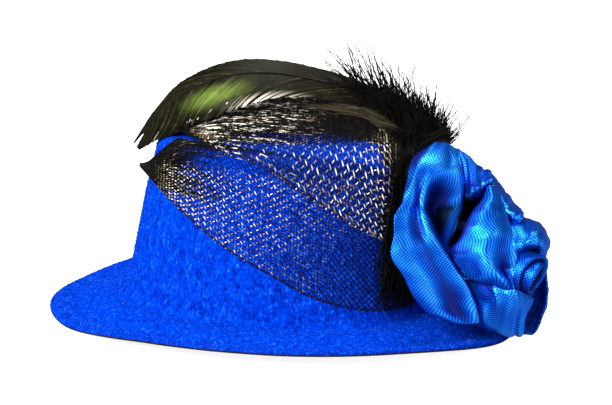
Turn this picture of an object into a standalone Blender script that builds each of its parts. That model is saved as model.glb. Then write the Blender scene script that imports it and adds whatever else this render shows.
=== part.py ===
"""A small felt hat that sits on top of the hair, trimmed with net, feathers and a satin rosette.

Metres, +Z up. The origin is the middle of the head opening, in the plane that the brim rests on.
+X runs along the oval brim towards the rosette, and -Y is the side that the net leaves cover.
"""
import math

import bmesh
import bpy
from mathutils import Vector

# Felt body: one moulded piece, crown and brim together
BRIM_LENGTH = 0.1490
BRIM_WIDTH = 0.1250
CROWN_BASE_LENGTH = 0.0995
CROWN_TOP_LENGTH = 0.084
HAT_HEIGHT = 0.057
FELT_WALL = 0.0016
BRIM_SLOPE = 0.0045
BRIM_REST = 0.006
SIDE_LIFT = 0.0046
FOOT_RADIUS = 0.0045
SHOULDER_RADIUS = 0.005
CROWN_DOME = 0.0006
REST_ARC = 0.35
FELT_STEPS = 56

# Trimmings
CLEARANCE = 0.0004
NET_WALL = 0.0010
NET_LOFT = 0.0090
FEATHER_RUN = 0.0870
FEATHER_RISE = 0.0200
FEATHER_WIDTH = 0.0170
SHORT_FEATHER_RUN = 0.0613
SHORT_FEATHER_WIDTH = 0.0130
FEATHER_WALL = 0.0010
QUILL_RADIUS = 0.0009
FLUFF_RADIUS = 0.0084
FLUFF_LOCK = 0.0140
FLUFF_PLACE = 0.185

# Rosette: strips of satin folded round a sewn stump
ROSETTE_RADIUS = 0.0300
ROSETTE_DEPTH = 0.0400
ROSETTE_YAW = math.radians(-33.0)
ROSETTE_PITCH = math.radians(-12.0)
ROSETTE_HEIGHT = 0.0325
ROSETTE_BEARING = math.radians(-21.5)
SATIN_WALL = 0.0010
STUMP_RADIUS = 0.0040
STUMP_LENGTH = 0.0320
BUD_RADIUS = 0.0076
BUD_TURNS = 1.6
BUD_GAP = 0.0012

OVAL = BRIM_WIDTH / BRIM_LENGTH
CROWN_FOOT = FELT_WALL + BRIM_SLOPE + FOOT_RADIUS
BASE_HALF = CROWN_BASE_LENGTH / 2
TOP_HALF = CROWN_TOP_LENGTH / 2


def clear_scene():
    for obj in list(bpy.data.objects):
        bpy.data.objects.remove(obj)


def make_material(name, colour, roughness):
    material = bpy.data.materials.new(name)
    material.use_nodes = True
    shader = material.node_tree.nodes["Principled BSDF"]
    shader.inputs["Base Color"].default_value = (*colour, 1.0)
    shader.inputs["Roughness"].default_value = roughness
    shader.inputs["Metallic"].default_value = 0.0
    return material


def make_collection(name):
    collection = bpy.data.collections.new(name)
    bpy.context.scene.collection.children.link(collection)
    return collection


def add_mesh(name, mesh, material, collection):
    mesh.materials.append(material)
    obj = bpy.data.objects.new(name, mesh)
    collection.objects.link(obj)
    return obj


def mesh_of_grid(name, rows, closed_round=False):
    """An open sheet through rows of points, each row as long as the others."""
    grid = bmesh.new()
    made = [[grid.verts.new(point) for point in row] for row in rows]
    count = len(made[0])
    last = count if closed_round else count - 1
    for first, second in zip(made, made[1:]):
        for i in range(last):
            j = (i + 1) % count
            grid.faces.new((first[i], first[j], second[j], second[i]))
    if closed_round:
        bmesh.ops.holes_fill(grid, edges=[edge for edge in grid.edges if edge.is_boundary])
        bmesh.ops.recalc_face_normals(grid, faces=grid.faces)
    mesh = bpy.data.meshes.new(name)
    grid.to_mesh(mesh)
    grid.free()
    mesh.shade_smooth()
    return mesh


def thicken(obj, wall, side):
    solidify = obj.modifiers.new("wall", "SOLIDIFY")
    solidify.thickness = wall
    solidify.offset = side
    solidify.use_even_offset = True


def baked(obj):
    """The object's mesh as its modifiers leave it."""
    bpy.context.view_layer.update()
    graph = bpy.context.evaluated_depsgraph_get()
    return bpy.data.meshes.new_from_object(obj.evaluated_get(graph))


def ease(share):
    share = min(max(share, 0.0), 1.0)
    return share * share * (3 - 2 * share)


def spline(values, share):
    """Smooth value at a share of the way along a short list."""
    place = min(max(share, 0.0), 1.0) * (len(values) - 1)
    i = min(int(place), len(values) - 2)
    t = place - i
    before, here = values[max(i - 1, 0)], values[i]
    there, after = values[i + 1], values[min(i + 2, len(values) - 1)]
    return 0.5 * (
        2 * here
        + (there - before) * t
        + (2 * before - 5 * here + 4 * there - after) * t ** 2
        + (3 * here - before - 3 * there + after) * t ** 3
    )


def section(columns, table, share):
    """The row of a table at a share of the way down it, as a dictionary by column name."""
    return {name: spline([row[i] for row in table], share) for i, name in enumerate(columns)}


def wall_half(height):
    """The crown wall's half length along X at a height."""
    share = (height - CROWN_FOOT) / (HAT_HEIGHT - CROWN_FOOT)
    return BASE_HALF + (TOP_HALF - BASE_HALF) * min(max(share, 0.0), 1.0)


def felt_profile():
    """(radius along X, height) of the felt's outer side, from the middle of the crown to the rim."""
    shoulder = HAT_HEIGHT - SHOULDER_RADIUS
    flat = TOP_HALF - SHOULDER_RADIUS
    points = [(flat * share, HAT_HEIGHT + CROWN_DOME * (1 - share ** 2)) for share in (0, 0.45, 0.8)]
    for angle in (90, 65, 40, 15):
        turn = math.radians(angle)
        points.append(
            (flat + SHOULDER_RADIUS * math.cos(turn), shoulder + SHOULDER_RADIUS * math.sin(turn))
        )
    for share in (0.7, 0.35, 0.0):
        height = CROWN_FOOT + (shoulder - CROWN_FOOT) * share
        points.append((wall_half(height), height))
    for angle in (30, 60, 90):
        turn = math.radians(angle)
        points.append(
            (
                BASE_HALF + FOOT_RADIUS * (1 - math.cos(turn)),
                CROWN_FOOT - FOOT_RADIUS * math.sin(turn),
            )
        )
    start = BASE_HALF + FOOT_RADIUS
    slope_end = BRIM_LENGTH / 2 - BRIM_REST
    for share in (0.5, 1.0):
        points.append((start + (slope_end - start) * share, FELT_WALL + BRIM_SLOPE * (1 - ease(share))))
    points.append((BRIM_LENGTH / 2, FELT_WALL))
    return points


def brim_lift(x, y):
    """How far the brim's long sides stand above its two resting ends."""
    radius = math.hypot(x, y / OVAL)
    out = (radius - BASE_HALF) / (BRIM_LENGTH / 2 - BASE_HALF)
    if out <= 0:
        return 0.0
    sideways = abs(y / OVAL) / radius
    return SIDE_LIFT * ease((sideways - REST_ARC) / (1 - REST_ARC)) * min(out, 1.0)


def felt_shell(name, stand_off):
    """The felt's outer side as an open mesh, moved outwards by stand_off."""
    profile = bpy.data.meshes.new(name)
    points = felt_profile()
    profile.from_pydata(
        [(radius, 0, height) for radius, height in points],
        [(i, i + 1) for i in range(len(points) - 1)],
        [],
    )
    turned = bpy.data.objects.new(name + "_profile", profile)
    bpy.context.scene.collection.objects.link(turned)
    screw = turned.modifiers.new("turn", "SCREW")
    screw.steps = FELT_STEPS
    screw.render_steps = FELT_STEPS
    screw.use_merge_vertices = True
    screw.merge_threshold = 0.00005
    mesh = baked(turned)
    bpy.data.objects.remove(turned)
    for vertex in mesh.vertices:
        x, y, z = vertex.co
        y *= OVAL
        vertex.co = (x, y, z + brim_lift(x, y))
    mesh.update()
    if stand_off:
        normals = [vertex.normal.copy() for vertex in mesh.vertices]
        for vertex, normal in zip(mesh.vertices, normals):
            vertex.co += normal * stand_off
    mesh.shade_smooth()
    return mesh


def make_felt(collection):
    felt = make_material("felt_blue", (0.004, 0.075, 0.72), 0.95)
    hat = add_mesh("felt_hat", felt_shell("felt_hat", 0.0), felt, collection)
    thicken(hat, FELT_WALL, -1.0)


def over_crown(x, climb, stand_off):
    """A point over the crown: climb 0 is the near wall's foot, 1 the near top edge, 2 the middle."""
    shoulder = HAT_HEIGHT - SHOULDER_RADIUS
    turn = math.pi / 2 * min(max((climb - EDGE_START) / (EDGE_END - EDGE_START), 0.0), 1.0)
    height = CROWN_FOOT + (shoulder - CROWN_FOOT) * min(climb / EDGE_START, 1.0)
    radius = wall_half(height) - SHOULDER_RADIUS * (1 - math.cos(turn))
    height += (SHOULDER_RADIUS + stand_off) * math.sin(turn)
    aside = stand_off * math.cos(turn)
    inside = math.sqrt(max(1 - (x / (radius + aside)) ** 2, 0.0))
    across = (2 - max(climb, EDGE_END)) / (2 - EDGE_END)
    return Vector((x, -(radius * OVAL + aside) * inside * across, height))


# One row for each section of a leaf of net, from its tip to its gathered end. along is a share of
# the crown's half length; low and high are climbs over the crown; the stands are shares of NET_LOFT.
NET_COLUMNS = ("along", "low", "high", "low_stand", "mid_stand", "high_stand")
LOWER_LEAF = [
    (-0.930, 0.78, 0.81, 0.50, 0.54, 0.53),
    (-0.860, 0.76, 0.92, 0.26, 0.36, 0.42),
    (-0.740, 0.68, 1.18, 0.17, 0.26, 0.22),
    (-0.580, 0.56, 1.55, 0.16, 0.24, 0.16),
    (-0.330, 0.39, 1.45, 0.17, 0.22, 0.14),
    (-0.080, 0.26, 1.20, 0.18, 0.20, 0.14),
    (0.170, 0.13, 1.08, 0.20, 0.20, 0.14),
    (0.420, 0.05, 1.00, 0.22, 0.20, 0.15),
    (0.640, 0.02, 0.86, 0.22, 0.20, 0.16),
    (0.800, 0.04, 0.70, 0.20, 0.18, 0.16),
]
UPPER_LEAF = [
    (-0.715, 1.50, 1.60, 0.38, 0.40, 0.38),
    (-0.620, 1.32, 1.95, 0.36, 0.42, 0.42),
    (-0.440, 1.10, 2.35, 0.36, 0.66, 0.82),
    (-0.220, 0.97, 2.50, 0.42, 0.72, 0.98),
    (0.010, 0.85, 2.55, 0.46, 0.72, 1.02),
    (0.200, 0.70, 2.52, 0.46, 0.72, 1.00),
    (0.380, 0.58, 2.20, 0.44, 0.66, 0.80),
    (0.540, 0.54, 1.60, 0.42, 0.50, 0.52),
    (0.680, 0.56, 1.15, 0.40, 0.40, 0.40),
]
NET_SECTIONS = 18
NET_STRANDS = 10
EDGE_START = 0.88
EDGE_END = 1.12


def make_net_leaf(name, table, collection, material):
    rows = []
    for i in range(NET_SECTIONS + 1):
        leaf = section(NET_COLUMNS, table, i / NET_SECTIONS)
        row = []
        for j in range(NET_STRANDS + 1):
            up = j / NET_STRANDS
            down = 1 - up
            stand = (
                down * (down - up) * leaf["low_stand"]
                + 4 * down * up * leaf["mid_stand"]
                + up * (up - down) * leaf["high_stand"]
            )
            climb = leaf["low"] * down + leaf["high"] * up
            row.append(over_crown(leaf["along"] * BASE_HALF, climb, stand * NET_LOFT))
        rows.append(row)
    net = add_mesh(name, mesh_of_grid(name, rows), material, collection)
    thicken(net, NET_WALL, -1.0)


def make_net(collection):
    net = make_material("net_black", (0.02, 0.018, 0.02), 0.4)
    make_net_leaf("net_leaf_lower", LOWER_LEAF, collection, net)
    make_net_leaf("net_leaf_upper", UPPER_LEAF, collection, net)


# One row for each section of a feather, from its quill's end to its tip. run is a share of the
# feather's run towards -X; back is a share of FEATHER_RISE from the crown's middle, and rise is one
# from the quill's end; near and far are the vane's two halves as shares of its width; tilt is in degrees.
FEATHER_COLUMNS = ("run", "back", "rise", "near", "far", "tilt")
LONG_FEATHER = [
    (0.000, 0.10, 0.00, 0.05, 0.05, 20),
    (0.006, 0.22, 0.13, 0.06, 0.06, 25),
    (0.040, 0.32, 0.27, 0.08, 0.08, 30),
    (0.130, 0.40, 0.47, 0.16, 0.14, 36),
    (0.245, 0.40, 0.69, 0.26, 0.26, 40),
    (0.382, 0.35, 0.83, 0.34, 0.30, 42),
    (0.539, 0.25, 0.94, 0.50, 0.34, 42),
    (0.696, 0.20, 0.89, 0.62, 0.38, 40),
    (0.853, 0.12, 0.63, 0.56, 0.36, 34),
    (0.947, 0.05, 0.27, 0.40, 0.22, 30),
    (1.000, 0.00, -0.02, 0.14, 0.10, 26),
]
SHORT_FEATHER = [
    (0.000, 0.62, -0.04, 0.07, 0.07, 10),
    (0.010, 0.80, 0.09, 0.08, 0.08, 12),
    (0.090, 1.10, 0.28, 0.20, 0.20, 20),
    (0.246, 1.45, 0.34, 0.48, 0.44, 22),
    (0.455, 1.72, 0.34, 0.52, 0.48, 20),
    (0.685, 1.86, 0.28, 0.48, 0.46, 18),
    (0.873, 1.88, 0.22, 0.34, 0.32, 16),
    (1.000, 1.86, 0.18, 0.10, 0.10, 14),
]
FEATHER_SECTIONS = 22
VANE_DROOP = 0.14
STEP = 0.01
QUILL_REST = math.radians(50)
FLUFF_FORWARD = 0.10
FLUFF_LIFT = 0.10
FLUFF_ALONG = 1.20
FLUFF_ACROSS = 0.80
FLUFF_ABOVE = 0.90
FLUFF_BELOW = 0.68
LOCK_SPACING = math.radians(30)
LOCK_LOWEST = 0.25
LOCK_LEAST = 0.40
LOCK_SHADE = 0.35
LOCK_SWEEP = 0.75
LOCK_ACROSS = 0.5
LOCK_LIFT = 0.05


def quill_point(table, run, share):
    """A point of the quill, which ends on the rounded right edge of the crown's top."""
    foot = section(FEATHER_COLUMNS, table, 0.0)
    row = section(FEATHER_COLUMNS, table, share)
    reach = SHOULDER_RADIUS + CLEARANCE + QUILL_RADIUS + FEATHER_WALL / 2
    half = TOP_HALF - SHOULDER_RADIUS + reach * math.cos(QUILL_REST)
    foot_x = half * math.sqrt(1 - (foot["back"] * FEATHER_RISE / (half * OVAL)) ** 2)
    foot_z = HAT_HEIGHT - SHOULDER_RADIUS + reach * math.sin(QUILL_REST)
    return Vector(
        (
            foot_x - row["run"] * run,
            row["back"] * FEATHER_RISE,
            foot_z + row["rise"] * FEATHER_RISE,
        )
    )


def feather_mesh(name, table, run, width):
    """A vane with a raised quill along it: a closed loft of eight-sided sections."""
    rows = []
    for i in range(FEATHER_SECTIONS + 1):
        share = i / FEATHER_SECTIONS
        row = section(FEATHER_COLUMNS, table, share)
        ahead = (quill_point(table, run, share + STEP) - quill_point(table, run, share - STEP)).normalized()
        level = Vector((0.0, -1.0, 0.0))
        level = (level - ahead * level.dot(ahead)).normalized()
        out = ahead.cross(level)
        tilt = math.radians(row["tilt"])
        near_way = level * math.cos(tilt) - out * math.sin(tilt)
        out = level * math.sin(tilt) + out * math.cos(tilt)
        middle = quill_point(table, run, share)
        near = max(row["near"], 0.0) * width
        far = max(row["far"], 0.0) * width
        quill = min(QUILL_RADIUS, near * 0.6)
        half = FEATHER_WALL / 2
        rows.append(
            [
                middle + near_way * near - out * (near * VANE_DROOP + half),
                middle + near_way * near - out * (near * VANE_DROOP - half),
                middle + near_way * quill + out * half,
                middle + out * (half + quill),
                middle - near_way * quill + out * half,
                middle - near_way * far - out * (far * VANE_DROOP - half),
                middle - near_way * far - out * (far * VANE_DROOP + half),
                middle - out * (half + quill * 0.5),
            ]
        )
    return mesh_of_grid(name, rows, closed_round=True)


def fluff_mesh(name, centre):
    """The fluffy root of a feather: a round head with locks drawn out of its upper side."""
    head = bmesh.new()
    bmesh.ops.create_icosphere(head, subdivisions=3, radius=1.0)
    ways = [vertex.co.normalized() for vertex in head.verts]
    locks = []
    for i, way in enumerate(ways):
        if way.z > LOCK_LOWEST and all(way.angle(ways[other]) > LOCK_SPACING for other in locks):
            locks.append(i)
    for i, vertex in enumerate(head.verts):
        way = ways[i]
        height = FLUFF_ABOVE if way.z > 0 else FLUFF_BELOW
        spread = Vector((way.x * FLUFF_ALONG, way.y * FLUFF_ACROSS, way.z * height))
        vertex.co = centre + spread * FLUFF_RADIUS
        if i in locks:
            upright = max(way.z - LOCK_SHADE * way.x, 0.0)
            length = FLUFF_LOCK * (LOCK_LEAST + (1 - LOCK_LEAST) * upright)
            vertex.co += Vector((way.x - LOCK_SWEEP, way.y * LOCK_ACROSS, way.z + LOCK_LIFT)) * length
    mesh = bpy.data.meshes.new(name)
    head.to_mesh(mesh)
    head.free()
    mesh.shade_smooth()
    return mesh


def make_feathers(collection, cutters):
    vane = make_material("feather_green", (0.03, 0.035, 0.018), 0.45)
    mesh = feather_mesh("feather_long", LONG_FEATHER, FEATHER_RUN, FEATHER_WIDTH)
    feather = add_mesh("feather_long", mesh, vane, collection)
    centre = quill_point(LONG_FEATHER, FEATHER_RUN, FLUFF_PLACE)
    centre += Vector((FLUFF_FORWARD, 0.0, FLUFF_LIFT)) * FLUFF_RADIUS
    fluff = add_mesh("feather_fluff", fluff_mesh("feather_fluff", centre), vane, cutters)
    fluff.hide_render = True
    fluff.display_type = "WIRE"
    join = feather.modifiers.new("fluff", "BOOLEAN")
    join.operation = "UNION"
    join.object = fluff
    mesh = feather_mesh("feather_short", SHORT_FEATHER, SHORT_FEATHER_RUN, SHORT_FEATHER_WIDTH)
    add_mesh("feather_short", mesh, vane, collection)


ROSETTE_FOOT = Vector(
    (
        wall_half(ROSETTE_HEIGHT) * math.cos(ROSETTE_BEARING),
        wall_half(ROSETTE_HEIGHT) * OVAL * math.sin(ROSETTE_BEARING),
        ROSETTE_HEIGHT,
    )
)
ROSETTE_OUT = Vector(
    (
        math.cos(ROSETTE_PITCH) * math.cos(ROSETTE_YAW),
        math.cos(ROSETTE_PITCH) * math.sin(ROSETTE_YAW),
        math.sin(ROSETTE_PITCH),
    )
)
ROSETTE_NEAR = Vector((math.sin(ROSETTE_YAW), -math.cos(ROSETTE_YAW), 0.0))
ROSETTE_UP = ROSETTE_NEAR.cross(ROSETTE_OUT)


def rosette_point(bearing, radius, out):
    """A point by bearing round the rosette's axis: 0 is up, 90 degrees the near side."""
    turn = math.radians(bearing)
    side = ROSETTE_UP * math.cos(turn) + ROSETTE_NEAR * math.sin(turn)
    return ROSETTE_FOOT + ROSETTE_OUT * out * ROSETTE_DEPTH + side * radius * ROSETTE_RADIUS


# One row for each section of a petal, by its bearing in degrees round the rosette's axis. The outs
# are shares of ROSETTE_DEPTH along the axis, and the radii are shares of ROSETTE_RADIUS.
PETAL_COLUMNS = (
    "bearing", "root_out", "crest_out", "crest_radius", "mid_out", "mid_radius", "lip_out", "lip_radius",
)
PETALS = {
    "petal_near": [
        (-14, 0.13, 0.18, 0.30, 0.14, 0.62, -0.04, 0.92),
        (7, 0.13, 0.25, 0.30, 0.25, 0.62, 0.06, 0.94),
        (26, 0.13, 0.15, 0.30, 0.10, 0.52, -0.07, 0.98),
        (50, 0.13, 0.15, 0.30, 0.12, 0.50, 0.00, 0.95),
        (75, 0.13, 0.22, 0.30, 0.22, 0.50, 0.11, 1.00),
        (95, 0.13, 0.37, 0.30, 0.40, 0.47, 0.19, 1.00),
        (115, 0.13, 0.47, 0.30, 0.57, 0.48, 0.32, 0.90),
        (135, 0.13, 0.50, 0.33, 0.65, 0.53, 0.47, 0.83),
        (155, 0.13, 0.45, 0.33, 0.64, 0.60, 0.56, 0.75),
        (170, 0.13, 0.40, 0.33, 0.55, 0.60, 0.52, 0.72),
    ],
    "petal_far": [
        (180, 0.16, 0.30, 0.33, 0.42, 0.50, 0.50, 0.66),
        (205, 0.13, 0.27, 0.37, 0.34, 0.57, 0.38, 0.73),
        (235, 0.13, 0.22, 0.40, 0.24, 0.67, 0.24, 0.83),
        (268, 0.13, 0.20, 0.40, 0.20, 0.67, 0.12, 0.90),
    ],
    "petal_top": [
        (-84, 0.13, 0.20, 0.40, 0.17, 0.67, 0.02, 0.90),
        (-58, 0.13, 0.20, 0.40, 0.13, 0.67, -0.05, 0.92),
        (-34, 0.16, 0.21, 0.40, 0.15, 0.67, -0.05, 0.92),
        (-14, 0.22, 0.26, 0.40, 0.28, 0.65, 0.20, 0.84),
        (3, 0.29, 0.33, 0.43, 0.38, 0.65, 0.44, 0.80),
    ],
    "petal_mid_near": [
        (11, 0.38, 0.70, 0.33, 0.65, 0.53, 0.48, 0.80),
        (35, 0.38, 0.77, 0.25, 0.68, 0.47, 0.50, 0.67),
        (60, 0.38, 0.82, 0.25, 0.72, 0.43, 0.52, 0.57),
        (85, 0.40, 0.82, 0.27, 0.73, 0.43, 0.46, 0.55),
        (110, 0.45, 0.79, 0.28, 0.75, 0.40, 0.65, 0.49),
        (123, 0.48, 0.72, 0.28, 0.73, 0.37, 0.69, 0.44),
    ],
    "petal_mid_low": [
        (127, 0.45, 0.60, 0.30, 0.72, 0.43, 0.78, 0.57),
        (147, 0.48, 0.70, 0.30, 0.82, 0.47, 0.83, 0.66),
        (167, 0.50, 0.74, 0.30, 0.91, 0.47, 0.94, 0.65),
        (187, 0.50, 0.74, 0.30, 0.95, 0.43, 1.04, 0.62),
        (207, 0.50, 0.72, 0.30, 0.93, 0.43, 1.05, 0.57),
    ],
    "petal_mid_far": [
        (196, 0.62, 0.79, 0.27, 0.93, 0.35, 1.02, 0.44),
        (214, 0.58, 0.76, 0.28, 0.93, 0.39, 1.07, 0.50),
        (238, 0.50, 0.70, 0.30, 0.88, 0.43, 1.00, 0.54),
        (262, 0.45, 0.62, 0.30, 0.75, 0.43, 0.83, 0.57),
        (282, 0.40, 0.52, 0.32, 0.60, 0.47, 0.62, 0.62),
    ],
    "petal_mid_top": [
        (-72, 0.35, 0.45, 0.32, 0.44, 0.53, 0.30, 0.74),
        (-46, 0.35, 0.47, 0.30, 0.46, 0.52, 0.30, 0.75),
        (-24, 0.35, 0.51, 0.28, 0.55, 0.48, 0.44, 0.71),
        (-8, 0.35, 0.54, 0.27, 0.61, 0.45, 0.60, 0.64),
        (4, 0.35, 0.55, 0.27, 0.64, 0.43, 0.74, 0.57),
    ],
    "petal_inner_top": [
        (-76, 0.66, 0.72, 0.30, 0.84, 0.40, 0.90, 0.47),
        (-45, 0.63, 0.70, 0.33, 0.82, 0.43, 0.88, 0.52),
        (-15, 0.61, 0.69, 0.35, 0.82, 0.44, 0.92, 0.53),
        (7, 0.61, 0.70, 0.35, 0.83, 0.42, 0.97, 0.47),
    ],
}
PETAL_ACROSS = 14
PETAL_ALONG = 7
BUD_STEPS = 34


def make_petal(name, table, material, collection):
    rows = []
    for i in range(PETAL_ACROSS + 1):
        strip = section(PETAL_COLUMNS, table, i / PETAL_ACROSS)
        root_radius = (STUMP_RADIUS + CLEARANCE + SATIN_WALL / 2) / ROSETTE_RADIUS
        outs = [strip["root_out"], strip["crest_out"], strip["mid_out"], strip["lip_out"]]
        radii = [root_radius, strip["crest_radius"], strip["mid_radius"], strip["lip_radius"]]
        line = []
        for j in range(PETAL_ALONG + 1):
            share = j / PETAL_ALONG
            line.append(rosette_point(strip["bearing"], spline(radii, share), spline(outs, share)))
        rows.append(line)
    petal = add_mesh(name, mesh_of_grid(name, rows), material, collection)
    thicken(petal, SATIN_WALL, 0.0)


def make_stump(material, collection, cutters):
    """The sewn stump in the middle, cut to stand on the crown's wall."""
    envelope = add_mesh("crown_envelope", felt_shell("crown_envelope", CLEARANCE), material, cutters)
    sunk = FELT_WALL * 2
    thicken(envelope, sunk * 2, -1.0)
    envelope.hide_render = True
    envelope.display_type = "WIRE"
    cone = bmesh.new()
    bmesh.ops.create_cone(
        cone,
        cap_ends=True,
        segments=14,
        radius1=STUMP_RADIUS,
        radius2=STUMP_RADIUS,
        depth=STUMP_LENGTH + sunk,
    )
    turn = ROSETTE_OUT.to_track_quat("Z", "Y").to_matrix().to_4x4()
    bmesh.ops.translate(cone, verts=cone.verts, vec=(0, 0, (STUMP_LENGTH - sunk) / 2))
    bmesh.ops.transform(cone, verts=cone.verts, matrix=turn)
    bmesh.ops.translate(cone, verts=cone.verts, vec=ROSETTE_FOOT)
    mesh = bpy.data.meshes.new("rosette_stump")
    cone.to_mesh(mesh)
    cone.free()
    stump = add_mesh("rosette_stump", mesh, material, collection)
    cut = stump.modifiers.new("seat", "BOOLEAN")
    cut.operation = "DIFFERENCE"
    cut.object = envelope


BUD_RIM = 1.03
BUD_RIM_FALL = 0.08
BUD_RIM_WAVE = 0.02
BUD_WAVE = 40
BUD_WAIST = 0.80
BUD_LEVELS = (0.0, 0.35, 0.7, 1.0)


def make_bud(material, collection):
    """The rolled ribbon in the middle of the rosette."""
    pitch = SATIN_WALL + BUD_GAP
    foot = (STUMP_LENGTH + CLEARANCE) / ROSETTE_DEPTH
    rows = []
    for i in range(BUD_STEPS + 1):
        share = i / BUD_STEPS
        bearing = 360 * BUD_TURNS * share
        radius = (BUD_RADIUS - pitch * BUD_TURNS * (1 - share)) / ROSETTE_RADIUS
        rim = BUD_RIM - BUD_RIM_FALL * share + BUD_RIM_WAVE * math.sin(bearing / BUD_WAVE)
        row = []
        for level in BUD_LEVELS:
            waist = BUD_WAIST + (1 - BUD_WAIST) * level
            row.append(rosette_point(bearing, radius * waist, foot + (rim - foot) * level))
        rows.append(row)
    bud = add_mesh("rosette_bud", mesh_of_grid("rosette_bud", rows), material, collection)
    thicken(bud, SATIN_WALL, 0.0)


def make_rosette(collection, cutters):
    satin = make_material("satin_blue", (0.004, 0.13, 0.88), 0.3)
    make_stump(satin, collection, cutters)
    for name, table in PETALS.items():
        make_petal(name, table, satin, collection)
    make_bud(satin, collection)


def main():
    clear_scene()
    hat = make_collection("feathered_hat")
    cutters = make_collection("cutters")
    make_felt(hat)
    make_net(hat)
    make_feathers(hat, cutters)
    make_rosette(hat, cutters)


main()
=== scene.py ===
"""Looks of a small blue felt hat trimmed with black net, cock feathers and a satin rosette.

Metres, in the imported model's frame: the hat stands on z = 0, the rosette is towards +X, and the
photograph looks at the side towards -Y.
"""

from math import cos, hypot, pi, radians, sin, sqrt, tau

import bpy
import numpy as np
from mathutils import Matrix, Vector, noise


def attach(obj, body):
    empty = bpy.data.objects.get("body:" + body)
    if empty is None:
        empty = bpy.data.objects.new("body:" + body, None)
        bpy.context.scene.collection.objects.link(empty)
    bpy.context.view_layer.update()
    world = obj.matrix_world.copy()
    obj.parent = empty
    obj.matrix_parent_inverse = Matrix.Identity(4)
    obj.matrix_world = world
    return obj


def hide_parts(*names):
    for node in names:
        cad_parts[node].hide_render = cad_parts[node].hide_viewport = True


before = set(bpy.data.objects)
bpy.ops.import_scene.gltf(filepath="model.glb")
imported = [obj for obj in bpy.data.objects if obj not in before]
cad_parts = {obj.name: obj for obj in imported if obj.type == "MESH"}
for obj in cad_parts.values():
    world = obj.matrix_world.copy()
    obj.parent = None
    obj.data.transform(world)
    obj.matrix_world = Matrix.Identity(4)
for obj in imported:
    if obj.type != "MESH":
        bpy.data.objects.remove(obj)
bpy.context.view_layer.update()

# Felt hat: crown and brim are one piece of velour felt, pulled wet over a wooden form and brushed.
# Its inner side and the underside of its rim are coloured near black, which shows as a thin dark line along
# the brim's cut edge.
brim_length = 0.1490
brim_width = 0.1250
crown_base_length = 0.0995
crown_top_length = 0.0840
hat_height = 0.0570
felt_wall = 0.0016
brim_slope = 0.0045
brim_rest = 0.0060
side_lift = 0.0046
rest_arc = 0.35
foot_radius = 0.0045
shoulder_radius = 0.0050
crown_dome = 0.0006
felt_unevenness = 0.00025
turn_steps = 180
oval = brim_width / brim_length
crown_foot = felt_wall + brim_slope + foot_radius
base_half = crown_base_length / 2
top_half = crown_top_length / 2


def ease(share):
    share = min(max(share, 0.0), 1.0)
    return share * share * (3 - 2 * share)


def wall_half(height):
    """The crown wall's half length along X at a height."""
    share = (height - crown_foot) / (hat_height - crown_foot)
    return base_half + (top_half - base_half) * min(max(share, 0.0), 1.0)


def felt_line():
    """(radius along X, height, darkness) down the felt's outer side and round the rim."""
    flat = top_half - shoulder_radius
    shoulder = hat_height - shoulder_radius
    line = []
    for i in range(13):
        share = i / 13
        line.append((flat * share, hat_height + crown_dome * (1 - share ** 2), 0.0))
    for degrees in range(90, 5, -10):
        turn = radians(degrees)
        radius = flat + shoulder_radius * cos(turn)
        line.append((radius, shoulder + shoulder_radius * sin(turn), 0.0))
    upper = crown_foot + (shoulder - crown_foot) * 0.7
    for i in range(1, 17):
        share = 1 - i / 16
        height = crown_foot + (shoulder - crown_foot) * share
        radius = wall_half(height)
        if height > upper:
            radius = top_half + (wall_half(upper) - top_half) * (shoulder - height) / (shoulder - upper)
        line.append((radius, height, 0.0))
    for degrees in range(15, 91, 15):
        turn = radians(degrees)
        radius = base_half + foot_radius * (1 - cos(turn))
        line.append((radius, crown_foot - foot_radius * sin(turn), 0.0))
    start = base_half + foot_radius
    slope_end = brim_length / 2 - brim_rest
    for i in range(1, 11):
        share = i / 10
        line.append((start + (slope_end - start) * share, felt_wall + brim_slope * (1 - ease(share)), 0.0))
    rim = brim_length / 2
    line += [(rim - 0.0030, felt_wall, 0.0), (rim - 0.0006, felt_wall, 0.0)]
    line += [(rim - 0.0001, felt_wall - 0.0003, 0.0), (rim, felt_wall - 0.0007, 0.2)]
    line += [(rim, felt_wall - 0.0011, 1.0), (rim - 0.0004, 0.0001, 1.0)]
    return line


def lining_line(line):
    """The felt's inner side, one wall in from the outer one, from the rim back to the middle."""
    inner = []
    for i in range(len(line) - 7, 0, -1):
        before, after = line[i - 1], line[i + 1]
        along = Vector((after[0] - before[0], after[1] - before[1])).normalized()
        inner.append((line[i][0] + along.y * felt_wall, line[i][1] - along.x * felt_wall, 1.0))
    inner.append((0.0, line[0][1] - felt_wall, 1.0))
    return inner


def brim_lift(x, y):
    """How far the brim's long sides stand above its two resting ends."""
    radius = hypot(x, y / oval)
    out = (radius - base_half) / (brim_length / 2 - base_half)
    if out <= 0:
        return 0.0
    sideways = abs(y / oval) / radius
    return side_lift * ease((sideways - rest_arc) / (1 - rest_arc)) * min(out, 1.0)


def skin(name, points, faces, edges=(), **values):
    """A mesh with values kept on its points, such as a tone or a thickness."""
    mesh = bpy.data.meshes.new(name)
    mesh.from_pydata(points, edges, faces)
    for key, numbers in values.items():
        kept = np.ravel(numbers).astype(np.float32)
        mesh.attributes.new(key, "FLOAT", "POINT").data.foreach_set("value", kept)
    if faces:
        mesh.shade_smooth()
    return mesh


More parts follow.
